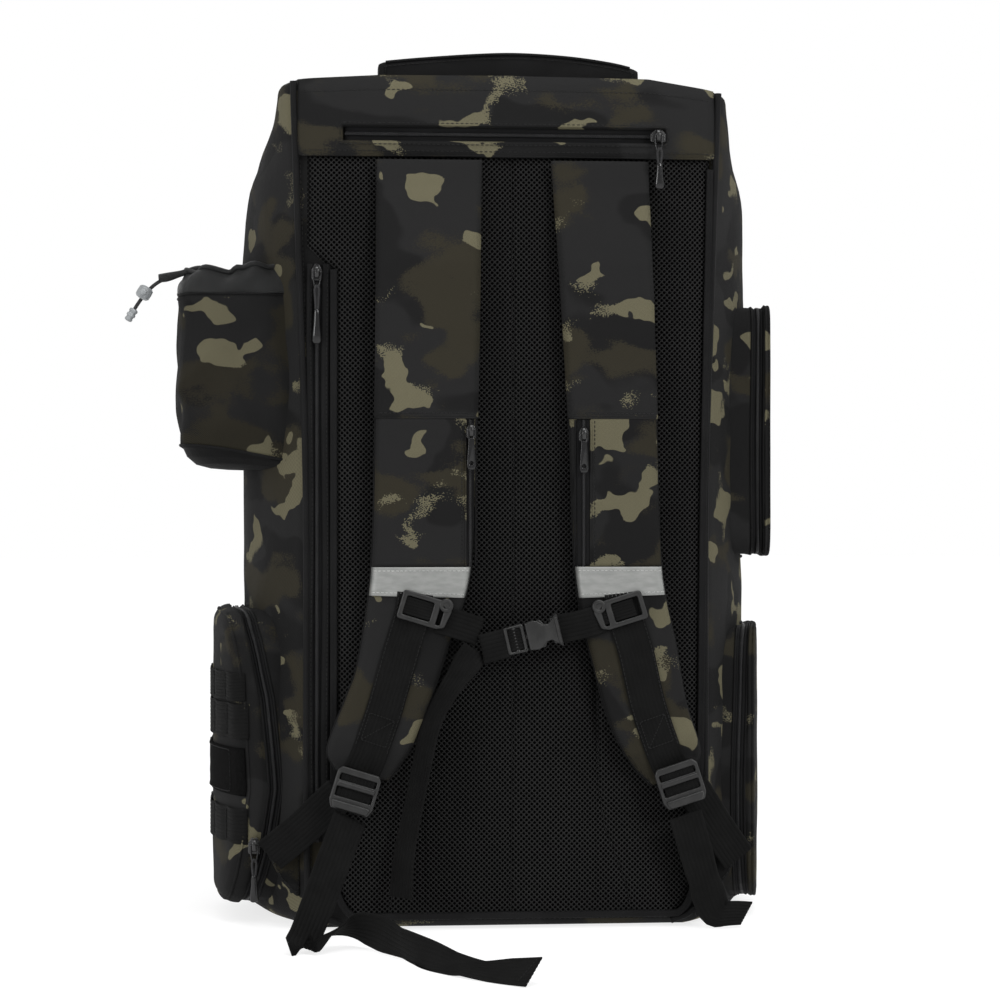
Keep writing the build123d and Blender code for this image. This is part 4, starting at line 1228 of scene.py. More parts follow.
# ================================================================ zip sliders and pulls
def zip_slider(name, centre, half_across, half_along):
    """Slider body: two noses, side flanges and an arched bridge over them."""
    plane = Plane(centre)
    body = f"{name}_zip_slider"
    a, b = half_across, half_along
    nose = rounded([(-a, -b), (a, -b), (a * 0.9, b * 0.5), (a * 0.35, b), (0, b * 0.75), (-a * 0.35, b),
                    (-a * 0.9, b * 0.5)], 0.8)
    shown = plate(f"{name}_slider_body", [nose], plane, 0.9, 3.0, 0.6, body, SLIDER)
    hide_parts(f"{name}_zip_slider")
    for side in (-1, 1):
        flange = oblong(side * (a - 0.4), -b * 0.25, 1.2, b * 1.2, 0.4)
        plate(f"{name}_slider_flange_{'left' if side < 0 else 'right'}", [flange], plane, 0.1, 2.4, 0.4, body,
              SLIDER)
    arch = [plane.at(0, -4.1 * math.cos(t), 2.4 + 3.4 * math.sin(t) ** 0.7)
            for t in np.linspace(0.01, 3.13, 24)]
    ribbon(f"{name}_slider_bridge", arch, plane.right, 3.0, body, SLIDER, thick=1.0, ribs=1, rib_height=0.15)
    return plane


def wire_loop(name, plane, half_top, half_low, top, low, level, body, look, radius=0.62, rows=64):
    """A closed loop of wire, wider at its top, that hangs on a plane."""
    corners = [(-half_top, top), (half_top, top), (half_top * 0.95, (top + low) / 2), (half_low, low),
               (-half_low, low), (-half_top * 0.95, (top + low) / 2)]
    outline = rounded(corners, [1.2, 1.2, 3.0, 1.4, 1.4, 3.0])
    path = evenly([plane.at(u, v, level) for u, v in np.vstack([outline, outline[:1]])], rows)
    return tube(name, path, radius, body, look, sides=8)


def corded_pull(name, plane, length, stand_off):
    """Wire loop, a short knotted cord and a moulded tip, hanging from the bridge."""
    body = f"{name}_zip_pull"
    level = 4.25
    hung = level + stand_off
    shown = wire_loop(f"{name}_pull_wire", plane, 2.6, 1.5, 0.6, -11.0, level + stand_off * 0.3, body, GLOSS)
    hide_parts(f"{name}_zip_pull")
    for side in (-1, 1):
        path = smooth_line([plane.at(0.3 * side, -9.2, hung), plane.at(1.5 * side, -12.5, hung + 0.4),
                            plane.at(1.2 * side, -17.0, hung), plane.at(0.6 * side, -length * 0.58, hung)], 24)
        tube(f"{name}_pull_cord_{'left' if side < 0 else 'right'}", path, 0.95, body, CORD, sides=8)
    tip = []
    angles = np.linspace(0, 2 * math.pi, 20, endpoint=False)
    for t, wide, deep in ((0.0, 1.5, 1.3), (0.04, 2.0, 1.6), (0.15, 2.1, 1.6), (0.4, 2.3, 1.5),
                          (0.75, 3.0, 1.5), (0.92, 3.1, 1.3), (0.98, 2.4, 0.9), (1.0, 1.4, 0.4)):
        v = -length * 0.52 - t * length * 0.48
        tip.append([plane.at(wide * math.cos(a), v, hung + deep * math.sin(a)) for a in angles])
    loft(f"{name}_pull_tip", tip, body, GLOSS)


def flat_pull(name, plane, length):
    """Stamped pull: a tapered tab with an eye at its end, on a short loop."""
    body = f"{name}_zip_pull"
    tab = rounded([(-1.9, -5.0), (-3.1, -length + 3.0), (-2.2, -length), (2.2, -length), (3.1, -length + 3.0),
                   (1.9, -5.0)], 1.4)
    angles = np.linspace(0, 2 * math.pi, 24, endpoint=False)
    eye = [(1.5 * math.cos(a), -length + 4.4 + 1.5 * math.sin(a)) for a in angles]
    shown = plate(f"{name}_pull_tab", [tab, eye], plane, 3.5, 5.0, 0.5, body, GLOSS)
    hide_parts(f"{name}_zip_pull")
    wire_loop(f"{name}_pull_loop", plane, 2.0, 1.6, 1.0, -6.6, 4.3, body, GLOSS, 0.6)


for zip_name, across, along, long, stand_off in (("yoke", 5.2, 4.4, 38.0, 4.6), ("side", 3.4, 6.0, 50.0, 0.3),
                                                 ("strap_left", 3.1, 5.2, 27.0, 0.0),
                                                 ("strap_right", 3.1, 5.2, 27.0, 0.0),
                                                 ("lower_left", 4.2, 6.0, 40.0, 0.0)):
    slider_low, slider_high = span(f"{zip_name}_zip_slider")
    zip_centre = (slider_low + slider_high) / 2
    zip_centre[1] = slider_high[1]
    zip_plane = zip_slider(zip_name, zip_centre, across, along)
    if zip_name.startswith("strap"):
        flat_pull(zip_name, zip_plane, long)
    else:
        corded_pull(zip_name, zip_plane, long, stand_off)


# ================================================================ carry handle
def carry_handle():
    """Padded handle: nylon wrapped over foam with a bound edge, lying low over the top seam."""
    low, high = span("top_handle")
    middle_y = (low[1] + high[1]) / 2
    crest = smooth_line([(-89, 0, 20.0), (-60, 0, 23.0), (-20, 0, 26.2), (10, 0, 27.2), (45, 0, 25.4),
                         (75, 0, 21.6), (96, 0, 17.0)], 120)
    angles = np.linspace(0, 2 * math.pi, 48, endpoint=False)
    rings, front = [], []
    for index, (x, _, top) in enumerate(crest):
        share = min(index, len(crest) - 1 - index)
        end = 1.0 - 0.12 * math.exp(-share / 1.5)
        half_tall = (top + 2.0) / 2 * end
        ring = []
        for angle in angles:
            u = 13.5 * end * np.sign(math.cos(angle)) * abs(math.cos(angle)) ** 0.4
            v = half_tall * np.sign(math.sin(angle)) * abs(math.sin(angle)) ** 0.4
            soft = 0.7 * noise.noise(Vector((x / 24.0, angle * 1.2, 1.0)))
            ring.append((x, middle_y + u + soft, top_z + (top - 2.0) / 2 + v + 0.5 * soft))
        rings.append(np.array(ring))
        front.append((x, middle_y - 13.2 * end, top_z + top - 1.2))
    handle = loft("handle_grip", rings, "bag", NYLON)
    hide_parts("top_handle")
    front = np.array(front)
    tube("handle_binding", front[3:-4] + (0, 0.6, 0.0), 1.1, "bag", TRIM, sides=10)
    stitches("handle_stitches", front[2:-2] + (0, -0.5, -3.2), (0, -1, 0), "bag", pitch=3.2)
    for number, index in enumerate((3, -4)):
        bar = [front[index] + (0, -0.5, -3.0), front[index] + (0, -0.5, -9.0)]
        stitches(f"handle_tack_{number + 1}", bar, (0, -1, 0), "bag", pitch=1.5, length=1.2, thick=0.5)


carry_handle()


# ================================================================ webbing at the lower corners
def anchors():
    """Triangular tabs in the side seams and the webbing from them up to the ladder locks."""
    ends = {"left": ((-163, -103.0, 55), (-124, -125.0, 92), -1),
            "right": ((163, -103.0, 50), (133, -125.0, 93), 1)}
    for side, (low, high, sign) in ends.items():
        low, high = np.array(low, float), np.array(high, float)
        along = unit(high - low)
        middle = (low + high) / 2 + (0, -1.2, -1.0)
        path = smooth_line([low - along * 5, low, middle, high, high + along * 9 + (0, -1.4, 0)], 50)
        across = np.cross(along, (0.1 * sign, -1.0, 0.1))
        web = ribbon(f"anchor_webbing_{side}", path, across, 25.0, None, WEBBING)
        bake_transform(web)
        if side == "left":
            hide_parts("anchor_webbings")
        corners = [(sign * 145, 70), (sign * 145, 20), (sign * 158, 34), (sign * 170, 57), (sign * 160, 66)]
        outline = evenly(np.vstack([rounded(corners, 3.0), rounded(corners, 3.0)[:1]]), 90)[:-1]
        middle_xz = outline.mean(axis=0)
        points, faces = [(middle_xz[0], -100.6, middle_xz[1])], []
        for ring, scale in enumerate((0.35, 0.7, 0.92, 1.0)):
            for x, z in outline:
                at = middle_xz + (np.array((x, z)) - middle_xz) * scale
                points.append((at[0], -100.4 + (0.9 if ring == 3 else 0.25 * ring), at[1]))
        count = len(outline)
        for k in range(count):
            faces.append((0, 1 + k, 1 + (k + 1) % count))
        faces += grid_faces(4, count, closed=True, first=1)
        tab = thicken(piece(f"anchor_tab_{side}", points, faces, "bag", CAMO[6]), 2.2)
        if side == "left":
            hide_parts("anchor_tabs")
        row = [middle_xz + (p - middle_xz) * 0.86 for p in outline]
        stitches(f"anchor_tab_stitches_{side}", [(x, -100.9, z) for x, z in row], (0, -1, 0), "bag")


anchors()


# ================================================================ loose webbing tails and the drawcord
def route_curve(name, points):
    """A cord's route as an open NURBS curve, in metres."""
    curve = bpy.data.curves.new(name, "CURVE")
    curve.dimensions = "3D"
    curve.resolution_u = 12
    line = curve.splines.new("NURBS")
    line.points.add(len(points) - 1)
    for point, place in zip(line.points, points):
        point.co = (*[value * MM for value in place], 1.0)
    line.order_u = 3
    line.use_endpoint_u = True
    made = bpy.data.objects.new(name, curve)
    bpy.context.scene.collection.objects.link(made)
    return made


def route_line(points):
    """Points read along the smooth NURBS line of a route, in millimetres."""
    drawn = route_curve("route", points)
    bpy.context.view_layer.update()
    flat = bpy.data.meshes.new_from_object(drawn.evaluated_get(bpy.context.evaluated_depsgraph_get()))
    line = np.array([vertex.co for vertex in flat.vertices]) / MM
    curve = drawn.data
    bpy.data.objects.remove(drawn)
    bpy.data.curves.remove(curve)
    bpy.data.meshes.remove(flat)
    return line


def webbing_tail(name, node, route, across, width, body, ribs=8):
    """A loose flat tail along its route. across holds the width's direction at each route point."""
    line = route_line(route)
    path = evenly(line, max(40, int(length_of(line) / 2.5)))
    along = np.linspace(0, 1, len(path))
    given = np.linspace(0, 1, len(across))
    turned = np.column_stack([np.interp(along, given, np.array(across, float)[:, k]) for k in range(3)])
    tail = ribbon(name, path, unit(turned), width, body, WEBBING, ribs=ribs)
    for vertex in tail.data.vertices:
        vertex.co.z = max(vertex.co.z, 0.4 * MM)
    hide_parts(node)
    hem = path[-4:-1]
    stitches(f"{name}_hem", np.array([hem[1] - unit(turned[-3]) * width * 0.42 + (0, 0, 0.9),
                                      hem[1] + unit(turned[-3]) * width * 0.42 + (0, 0, 0.9)]),
             np.cross(directions(path)[-2], unit(turned[-3])), body, pitch=2.4, length=1.9)
    return tail


tail_left_route = [(-111, -135, 82), (-121, -155, 60), (-134, -181, 30), (-144, -201, 9), (-147, -208, 4),
                   (-141, -202, 5), (-129, -190, 11), (-112, -182, 15), (-96, -193, 13), (-85, -216, 10),
                   (-68, -258, 6), (-48, -284, 4), (-27, -312, 6), (-4, -336, 9)]
tail_left_across = [(0.94, 0.2, -0.26), (0.93, 0.2, -0.28), (0.9, 0.25, -0.3), (0.85, 0.45, -0.2),
                    (0.75, 0.6, -0.1), (0.62, -0.6, 0.3), (0.5, -0.6, 0.6), (0.35, -0.55, 0.75),
                    (0.1, -0.45, 0.85), (0.35, -0.1, 0.75), (0.8, 0.3, 0.45), (0.85, 0.45, 0.25),
                    (0.7, 0.4, 0.5), (0.6, 0.35, 0.62)]
webbing_tail("webbing_tail_left", "strap_tail_left", tail_left_route, tail_left_across, 24.0, "harness")
tail_right_route = [(122, -136, 82), (128, -134, 62), (136, -129, 36), (142, -126, 18), (146, -125, 10),
                    (156, -123, 11), (168, -119, 10)]
tail_right_across = [(0.97, 0.1, 0.2), (0.97, 0.15, 0.2), (0.95, 0.15, 0.25), (0.85, 0.3, 0.4),
                     (0.5, -0.3, 0.75), (0.25, -0.5, 0.8), (0.2, -0.6, 0.75)]
webbing_tail("webbing_tail_right", "strap_tail_right", tail_right_route, tail_right_across, 24.0, "harness")
tail_chest_route = [(-24, -133, 197), (-33, -133.4, 184), (-44, -133, 168), (-56, -133, 146),
                    (-61, -132.6, 119), (-68, -132.6, 85), (-75, -132.6, 52), (-76, -132.6, 26)]
tail_chest_across = [(0.75, 0.1, 0.62), (0.7, -0.3, 0.55), (0.66, -0.55, 0.4), (0.62, -0.72, 0.3),
                     (0.6, -0.78, 0.1), (0.62, -0.76, 0.1), (0.68, -0.7, 0.1), (0.74, -0.66, 0.05)]
webbing_tail("webbing_tail_chest", "sternum_tail", tail_chest_route, tail_chest_across, 20.0, "buckle_male",
             ribs=7)


# ================================================================ drawstring pocket
def drawstring_pocket():
    """Camouflage tub with a slack black base, and a gathered taffeta collar leaning outwards."""
    low, high = span("drawstring_pocket")
    out_x, rear, front = low[0], low[1], high[1]
    rim = high[2]
    middle = np.array(((out_x - 130) / 2, (rear + front) / 2))

    def tub_ring(z, inset, lean=0.0):
        """Plan outline of the tub at one height; its inner end is inside the bag's side."""
        corners = [(-140, rear + inset), (-140, front - inset), (out_x + inset + lean, front - inset),
                   (out_x + inset + lean, rear + inset)]
        outline = evenly(np.vstack([rounded(corners, (2, 2, 26, 24)), rounded(corners, (2, 2, 26, 24))[:1]]),
                         121)[:-1]
        return np.column_stack([outline, np.full(len(outline), z)])

    def slack(ring, share):
        """Folds of empty cloth: diagonal creases low down, a soft hollow in the middle."""
        moved = []
        for x, y, z in ring:
            way = unit(np.array((x, y)) - middle)
            fold = 3.6 * noise.noise(Vector((x / 26.0 + z / 60.0, y / 30.0, z / 38.0)))
            fold += (3.0 - 11.0 * abs(noise.noise(Vector((x / 44.0 - z / 70.0, y / 50.0, z / 52.0 + 3.0))))) \
                * math.sin(math.pi * min(share * 1.1, 1.0)) * (1.1 - share)
            fold += 2.2 * math.sin((x * 0.55 - z) / 15.0) * math.exp(-((share - 0.2) / 0.16) ** 2)
            fold -= 2.6 * math.exp(-((share - 0.62) / 0.25) ** 2)
            tilt = (1 - share) ** 2 * (-0.11 * (x + 190) - 3.0)
            moved.append((x + way[0] * fold, y + way[1] * fold * 1.1,
                          z + tilt + 1.6 * math.sin(x / 19.0) * (1 - share)))
        return np.array(moved)

    bottom = low[2]
    rows = []
    for share in np.linspace(0, 1, 44):
        z = bottom + 16 + (rim - bottom - 16) * share
        bulge = 2.0 * math.sin(math.pi * min(share * 1.3, 1.0))
        rows.append(slack(tub_ring(z, 4.0 - bulge + 3.5 * (1 - share) ** 3), share))
    count = len(rows[0])
    tub = lined(piece("drawstring_tub", np.vstack(rows), grid_faces(len(rows), count, closed=True), "bag",
                      CAMO[7]), 1.6)
    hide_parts("drawstring_pocket")
    base = [rows[0]]
    for inset, z in ((5.5, 12.5), (8.0, 8.5), (14.0, 4.5), (24.0, 2.0), (36.0, 0.6)):
        ring = tub_ring(bottom + z, inset + 4)
        ring[:, 2] += 1.4 * np.sin(ring[:, 0] / 17.0) - 0.12 * (ring[:, 0] + 190) * (z / 12.0)
        base.append(ring)
    faces = grid_faces(len(base), count, closed=True) + [tuple(range((len(base) - 1) * count, len(base) * count))]
    thicken(piece("drawstring_base", np.vstack(base), faces, "bag", NYLON), 1.2)
    seam = np.vstack([rows[0], rows[0][:1]])
    tube("drawstring_base_seam", seam, 1.0, "bag", TRIM, sides=8)

    collar = []
    for share in np.linspace(0, 1, 22):
        gather = share ** 1.4
        ring = tub_ring(rim + 1.0, 4.0 + 17.0 * gather, lean=-5.0 * gather)
        angle = np.arctan2(ring[:, 1] - middle[1], ring[:, 0] - middle[0])
        rise = 15.0 * math.sin(min(share * 1.25, 1.0) * math.pi / 2)
        slope = (ring[:, 0] - out_x) / 95.0 * 7.5 * share
        ripple = np.array([noise.noise(Vector((a * 2.4, share * 1.6, 4.0))) for a in angle])
        pleat = np.sin(angle * 13 + 1.6 * ripple) * 2.3 * gather
        ring[:, 2] += rise + slope + ripple * 5.0 * share + pleat * 0.8
        way = unit(ring[:, :2] - middle)
        ring[:, :2] += way * (pleat + 4.5 * ripple * math.sin(share * math.pi))[:, None]
        collar.append(ring)
    throat = collar[-1].copy()
    for drop in (3.0, 7.0, 12.0):
        ring = throat.copy()
        ring[:, 2] -= drop
        ring[:, :2] += (middle - ring[:, :2]) * (0.03 * drop)
        collar.append(ring)
    gathered = piece("drawstring_collar_cloth", np.vstack(collar), grid_faces(len(collar), count, closed=True),
                     "bag", COLLAR)
    thicken(gathered, 0.6)
    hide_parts("drawstring_collar")
    hem = np.vstack([rows[-1], rows[-1][:1]]) + (0, 0, 0.4)
    tube("drawstring_hem", hem, 0.8, "bag", TRIM, sides=8)
    casing = np.vstack([collar[15], collar[15][:1]]) + (0, 0, 1.2)
    tube("drawstring_casing", casing, 2.0, "bag", COLLAR, sides=10)
    near = collar[15][np.argmin(np.abs(collar[15][:, 0] - out_x) + np.abs(collar[15][:, 1] + 66))]
    spout = smooth_line([near + (14, 8, 2), near + (4, 3, 2), (-238, -66, 459.5), (-244.5, -66, 458.5)], 26)
    radii = 2.7 + 0.5 * np.sin(np.linspace(0, 9, 26))
    tube("drawstring_spout", spout, radii, "bag", COLLAR, sides=12)


drawstring_pocket()


def drawcord():
    """The cord's free end, its spring lock and its ribbed tip."""
    route = [(-235.4, -66.0, 459.0), (-249.0, -66.0, 458.0), (-262.0, -66.0, 436.0)]
    cord = route_curve("drawcord_line", route)
    cord.data.bevel_depth = 1.3 * MM
    cord.data.bevel_resolution = 4
    cord.data.materials.append(CORD[0])
    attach(cord, "bag")
    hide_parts("drawcord")
    down = unit(np.array(route[2]) - np.array(route[1]))
    corner = np.array(route[1])
    side = np.array((0.0, -1.0, 0.0))
    third = np.cross(down, side)
    angles = np.linspace(0, 2 * math.pi, 28, endpoint=False)

    def turned(name, profile, body, look, start, wide, tall):
        """A moulded form along the cord: rows of (distance, size)."""
        rings = [start + down * d + size * (wide * np.cos(angles)[:, None] * side
                                            + tall * np.sin(angles)[:, None] * third) for d, size in profile]
        return loft(name, rings, body, look)

    barrel = turned("cord_lock_barrel", [(6.6, 0.35), (7.0, 0.7), (8.2, 0.95), (11.5, 1.0), (14.6, 0.96),
                                         (15.9, 0.7), (16.3, 0.4)], "cord_lock", FITTING, corner, 6.4, 5.4)
    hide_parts("cord_lock_body")
    rings = []
    middle = corner + down * 11.7
    for w, size in ((2.8, 0.8), (5.6, 0.8), (6.6, 1.0), (9.0, 1.0), (9.8, 0.8)):
        round_ring = np.cos(angles)[:, None] * down + np.sin(angles)[:, None] * third
        rings.append(middle + side * w + 2.2 * size * round_ring)
    button = loft("cord_lock_plunger", rings, "cord_lock_button", FITTING)
    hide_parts("cord_lock_button")
    tip_start = np.array(route[2])
    tip = turned("cord_tip", [(-0.6, 0.6), (0.0, 0.9), (1.4, 1.0), (2.0, 0.82), (3.2, 0.82), (3.8, 1.0),
                              (5.0, 0.98), (5.6, 0.78), (6.8, 0.76), (7.4, 0.9), (8.6, 0.8), (9.2, 0.4)], "bag",
                 FITTING, tip_start, 3.9, 3.3)
    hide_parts("cord_end")


drawcord()


# ================================================================ zipped side pockets
def lid_slope(y, z, amount, start, power, sag):
    """How far a lid falls back towards the bag behind y = start; with sag, more so at mid height."""
    share = np.interp(z, (26, 60, 96, 160, 210), (0.55, 0.8, 1.0, 0.85, 0.5)) if sag else 1.0
    return float(amount * max(0.0, (start - y) / (start + 80.0)) ** power * share)


SLOPES = {"lower_left": (25.0, 0.0, 1.8, True), "lower_right": (18.0, 20.0, 1.3, False),
          "upper_right": (8.0, 10.0, 1.3, False)}


def side_pocket(name, sign, corner, zip_drop, edge, cloth):
    """A boxed pocket on the side: gusset, two-way coil zip and a lid that hinges at its front edge."""
    low, high = span(f"{name}_lid")
    outer = max(abs(low[0]), abs(high[0]))
    rear, front, bottom, top = low[1], high[1], low[2], high[2]
    centre = np.array(((rear + front) / 2, (bottom + top) / 2))
    size = np.array((front - rear, top - bottom))
    count = 220

    def outline(inset):
        """Upright outline of the pocket, drawn in by inset."""
        shape = oblong(0, 0, size[0] - 2 * inset, size[1] - 2 * inset, max(corner - inset, 4.0))
        return evenly(np.vstack([shape, shape[:1]]), count + 1)[:-1] + centre

    def seam_depth(y, z):
        """How far out the zip is: it dips towards the bag down the rear edge."""
        at_rear = 1 / (1 + math.exp((y - rear - 14) / 5.0))
        dip = math.exp(-((z - bottom - 0.38 * size[1]) / (0.36 * size[1])) ** 2)
        return outer - edge - 6.0 - lid_slope(y, z, *SLOPES[name]) - zip_drop * at_rear * dip

    def ring(depth, inset, puff=0.0, seed=0.0):
        """A ring at a depth from the bag's middle plane; depth may be a function of (y, z)."""
        points = []
        for y, z in outline(inset):
            x = depth(y, z) if callable(depth) else depth
            way = unit(np.array((y, z)) - centre)
            soft = puff * noise.noise(Vector((x / 40.0, y / 34.0 + seed, z / 34.0)))
            points.append((sign * x, y + way[0] * soft, z + way[1] * soft))
        return np.array(points)

    tape = 4.6
    gusset = []
    for share in np.linspace(0, 1, 14):
        gusset.append(ring(lambda y, z: 140 + (seam_depth(y, z) - tape - 140) * share, 1.6 * share ** 2,
                           2.6 * math.sin(math.pi * share), 1.0))
    box = lined(piece(f"{name}_gusset", np.vstack(gusset), grid_faces(len(gusset), count, closed=True), "bag",
                      cloth), 1.8)
    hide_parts(f"{name}_pocket")
    for part, start, stop, body in (("inner", -tape, -0.9, "bag"), ("outer", 0.9, tape, f"{name}_lid")):
        strip = [ring(lambda y, z: seam_depth(y, z) + start + (stop - start) * t, 2.2 + 0.6 * math.cos(t * 9))
                 for t in np.linspace(0, 1, 9)]
        thicken(piece(f"{name}_zip_tape_{part}", np.vstack(strip), grid_faces(9, count, closed=True), body,
                      TAPE), 0.8)
    closed = np.vstack([ring(seam_depth, 2.2), ring(seam_depth, 2.2)[:1]])
    away = unit(closed - (closed[:, :1] * (1, 0, 0) + (0, *centre)))
    places_normal = evenly(np.hstack([closed, away]), int(round(length_of(closed) / 0.62)))
    turn_places = []
    forward = directions(places_normal[:, :3])
    for number, (row, along) in enumerate(zip(places_normal, forward)):
        out = unit(row[3:])
        across = np.cross(out, along)
        turn = 1 if number % 2 else -1
        turn_places.append((row[:3], along * turn, across * turn, out))
    tooth = [(-0.5, -0.5, 0), (0.5, -0.5, 0), (0.5, 1.5, 0), (-0.5, 1.5, 0), (-0.36, -0.4, 0.8),
             (0.36, -0.4, 0.8), (0.36, 1.1, 0.8), (-0.36, 1.1, 0.8)]
    scatter(f"{name}_zip_coil", tooth, BOX_FACES, turn_places, "bag", COIL)

    def wall_end(y, z):
        """Where the lid's wall turns into its rounded edge."""
        return outer - edge - 1.0 - lid_slope(y, z, *SLOPES[name])

    lid_rows = [ring(lambda y, z: seam_depth(y, z) + tape + (wall_end(y, z) - seam_depth(y, z) - tape) * t,
                     1.8 - 1.8 * t, 1.4 * t, 2.0) for t in np.linspace(0, 1, 5)]
    for angle in np.linspace(0.15, math.pi / 2, 8):
        lid_rows.append(ring(lambda y, z: wall_end(y, z) + edge * math.sin(angle), edge * (1 - math.cos(angle)),
                             1.0, 2.0))
    rim_points = lid_rows[-1][:, 1:]
    for scale in (0.94, 0.86, 0.78, 0.7, 0.6, 0.52, 0.43, 0.34, 0.25, 0.17, 0.05):
        face = []
        for y, z in centre + (rim_points - centre) * scale:
            crown = 1.0 * (1 - scale ** 2) + 1.3 * noise.noise(Vector((y / 40.0, z / 36.0, sign * 3.0)))
            face.append((sign * (outer - 0.9 + crown * 0.55 - lid_slope(y, z, *SLOPES[name])), y, z))
        lid_rows.append(np.array(face))
    faces = grid_faces(len(lid_rows), count, closed=True)
    faces.append(tuple(range((len(lid_rows) - 1) * count, len(lid_rows) * count)))
    lid = lined(piece(f"{name}_lid_cloth", np.vstack(lid_rows), faces, f"{name}_lid", cloth), 1.8)
    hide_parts(f"{name}_lid")
    for part, rows, body in (("gusset", gusset[-1], "bag"), ("lid", lid_rows[0], f"{name}_lid")):
        rim = np.vstack([rows, rows[:1]])
        tube(f"{name}_{part}_binding", rim, 1.0, body, TRIM, sides=8)
    welt = np.vstack([lid_rows[8], lid_rows[8][:1]])
    tube(f"{name}_lid_welt", welt, 1.1, f"{name}_lid", cloth, sides=8)
    root = ring(lambda y, z: abs(np.interp(y, (-105, -20, 60), (143, 182, 176))), -0.6)
    tube(f"{name}_root_seam", np.vstack([root, root[:1]]), 1.2, "bag", TRIM, sides=8)


lid_rounding = 11.5             # radius of the lower left lid's edge
side_pocket("lower_left", -1, 34.0, 5.0, lid_rounding, CAMO[6])
side_pocket("lower_right", 1, 34.0, 3.0, 4.5, CAMO[5])
side_pocket("upper_right", 1, 20.0, 1.0, 4.0, CAMO[3])


def rounding_drop(over):
    """How far the lower left lid's edge has fallen back, at a distance over past where it starts to turn."""
    return lid_rounding - math.sqrt(lid_rounding ** 2 - over ** 2)


def lid_webbing():
    """Three rows of load webbing, tacked at intervals, and a field of loop pile between the lower two."""
    low, high = span("lid_webbing_rows")
    rear, front = low[1] + 1, high[1] - 1
    face = low[0] + 2.2
    lid = "lower_left_lid"
    lid_low, lid_high = span("lower_left_lid")
    lid_rear, lid_front = lid_low[1], lid_high[1]
    rows = ((70.0, 25.0), (144.5, 25.0), (169.0, 20.0))
    tacks = np.linspace(rear + 4, front - 4, 4)
    for number, (z, width) in enumerate(rows):
        ys = np.linspace(lid_rear + 1.2, front + 8, 80)
        path = []
        for y in ys:
            lifted = 1.1 * min(1.0, min(abs(y - tack) for tack in tacks) / 9.0)
            over = min(max(lid_rear + lid_rounding - y, y - lid_front + lid_rounding, 0.0), 11.0)
            slope = lid_slope(y, z, *SLOPES["lower_left"])
            path.append((face - lifted + rounding_drop(over) + slope, y, z - 0.5 * lifted))
        web = ribbon(f"lid_webbing_{number + 1}", path, (0, 0, 1), width, lid, WEBBING, ribs=9)
        if number == 0:
            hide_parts("lid_webbing_rows")
        for index, tack in enumerate(tacks):
            level = face - 1.1 + lid_slope(tack, z, *SLOPES["lower_left"])
            bar = [(level, tack, z - width * 0.44), (level, tack, z + width * 0.44)]
            stitches(f"lid_tack_{number + 1}_{index + 1}", bar, (-1, 0, 0), lid, pitch=1.5, length=1.2,
                     thick=0.5)
    grid = []
    for z in np.linspace(91, 125, 16):
        for y in np.linspace(lid_rear + 4, front + 3, 44):
            edge = min(y - lid_rear - 4, front + 3 - y, z - 91, 125 - z)
            over = max(lid_rear + lid_rounding - y, 0.0)
            slope = lid_slope(y, z, *SLOPES["lower_left"])
            x = face - 1.9 * min(1.0, 0.35 + edge / 3.0) + rounding_drop(over) + slope
            grid.append((x - 0.25 * noise.noise(Vector((0.0, y / 4.0, z / 4.0))), y, z))
    patch = thicken(piece("loop_field", grid, grid_faces(16, 44), lid, PILE), 1.0)
    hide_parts("loop_patch")
    frame_path = rounded([(rear - 1, 93), (front + 1, 93), (front + 1, 123), (rear - 1, 123)], 1.0)
    path = [(face - 2.1 + lid_slope(y, z, *SLOPES["lower_left"]), y, z)
            for y, z in evenly(np.vstack([frame_path, frame_path[:1]]), 90)]
    stitches("loop_field_stitches", path, (-1, 0, 0), lid, pitch=3.0, length=2.3)


lid_webbing()


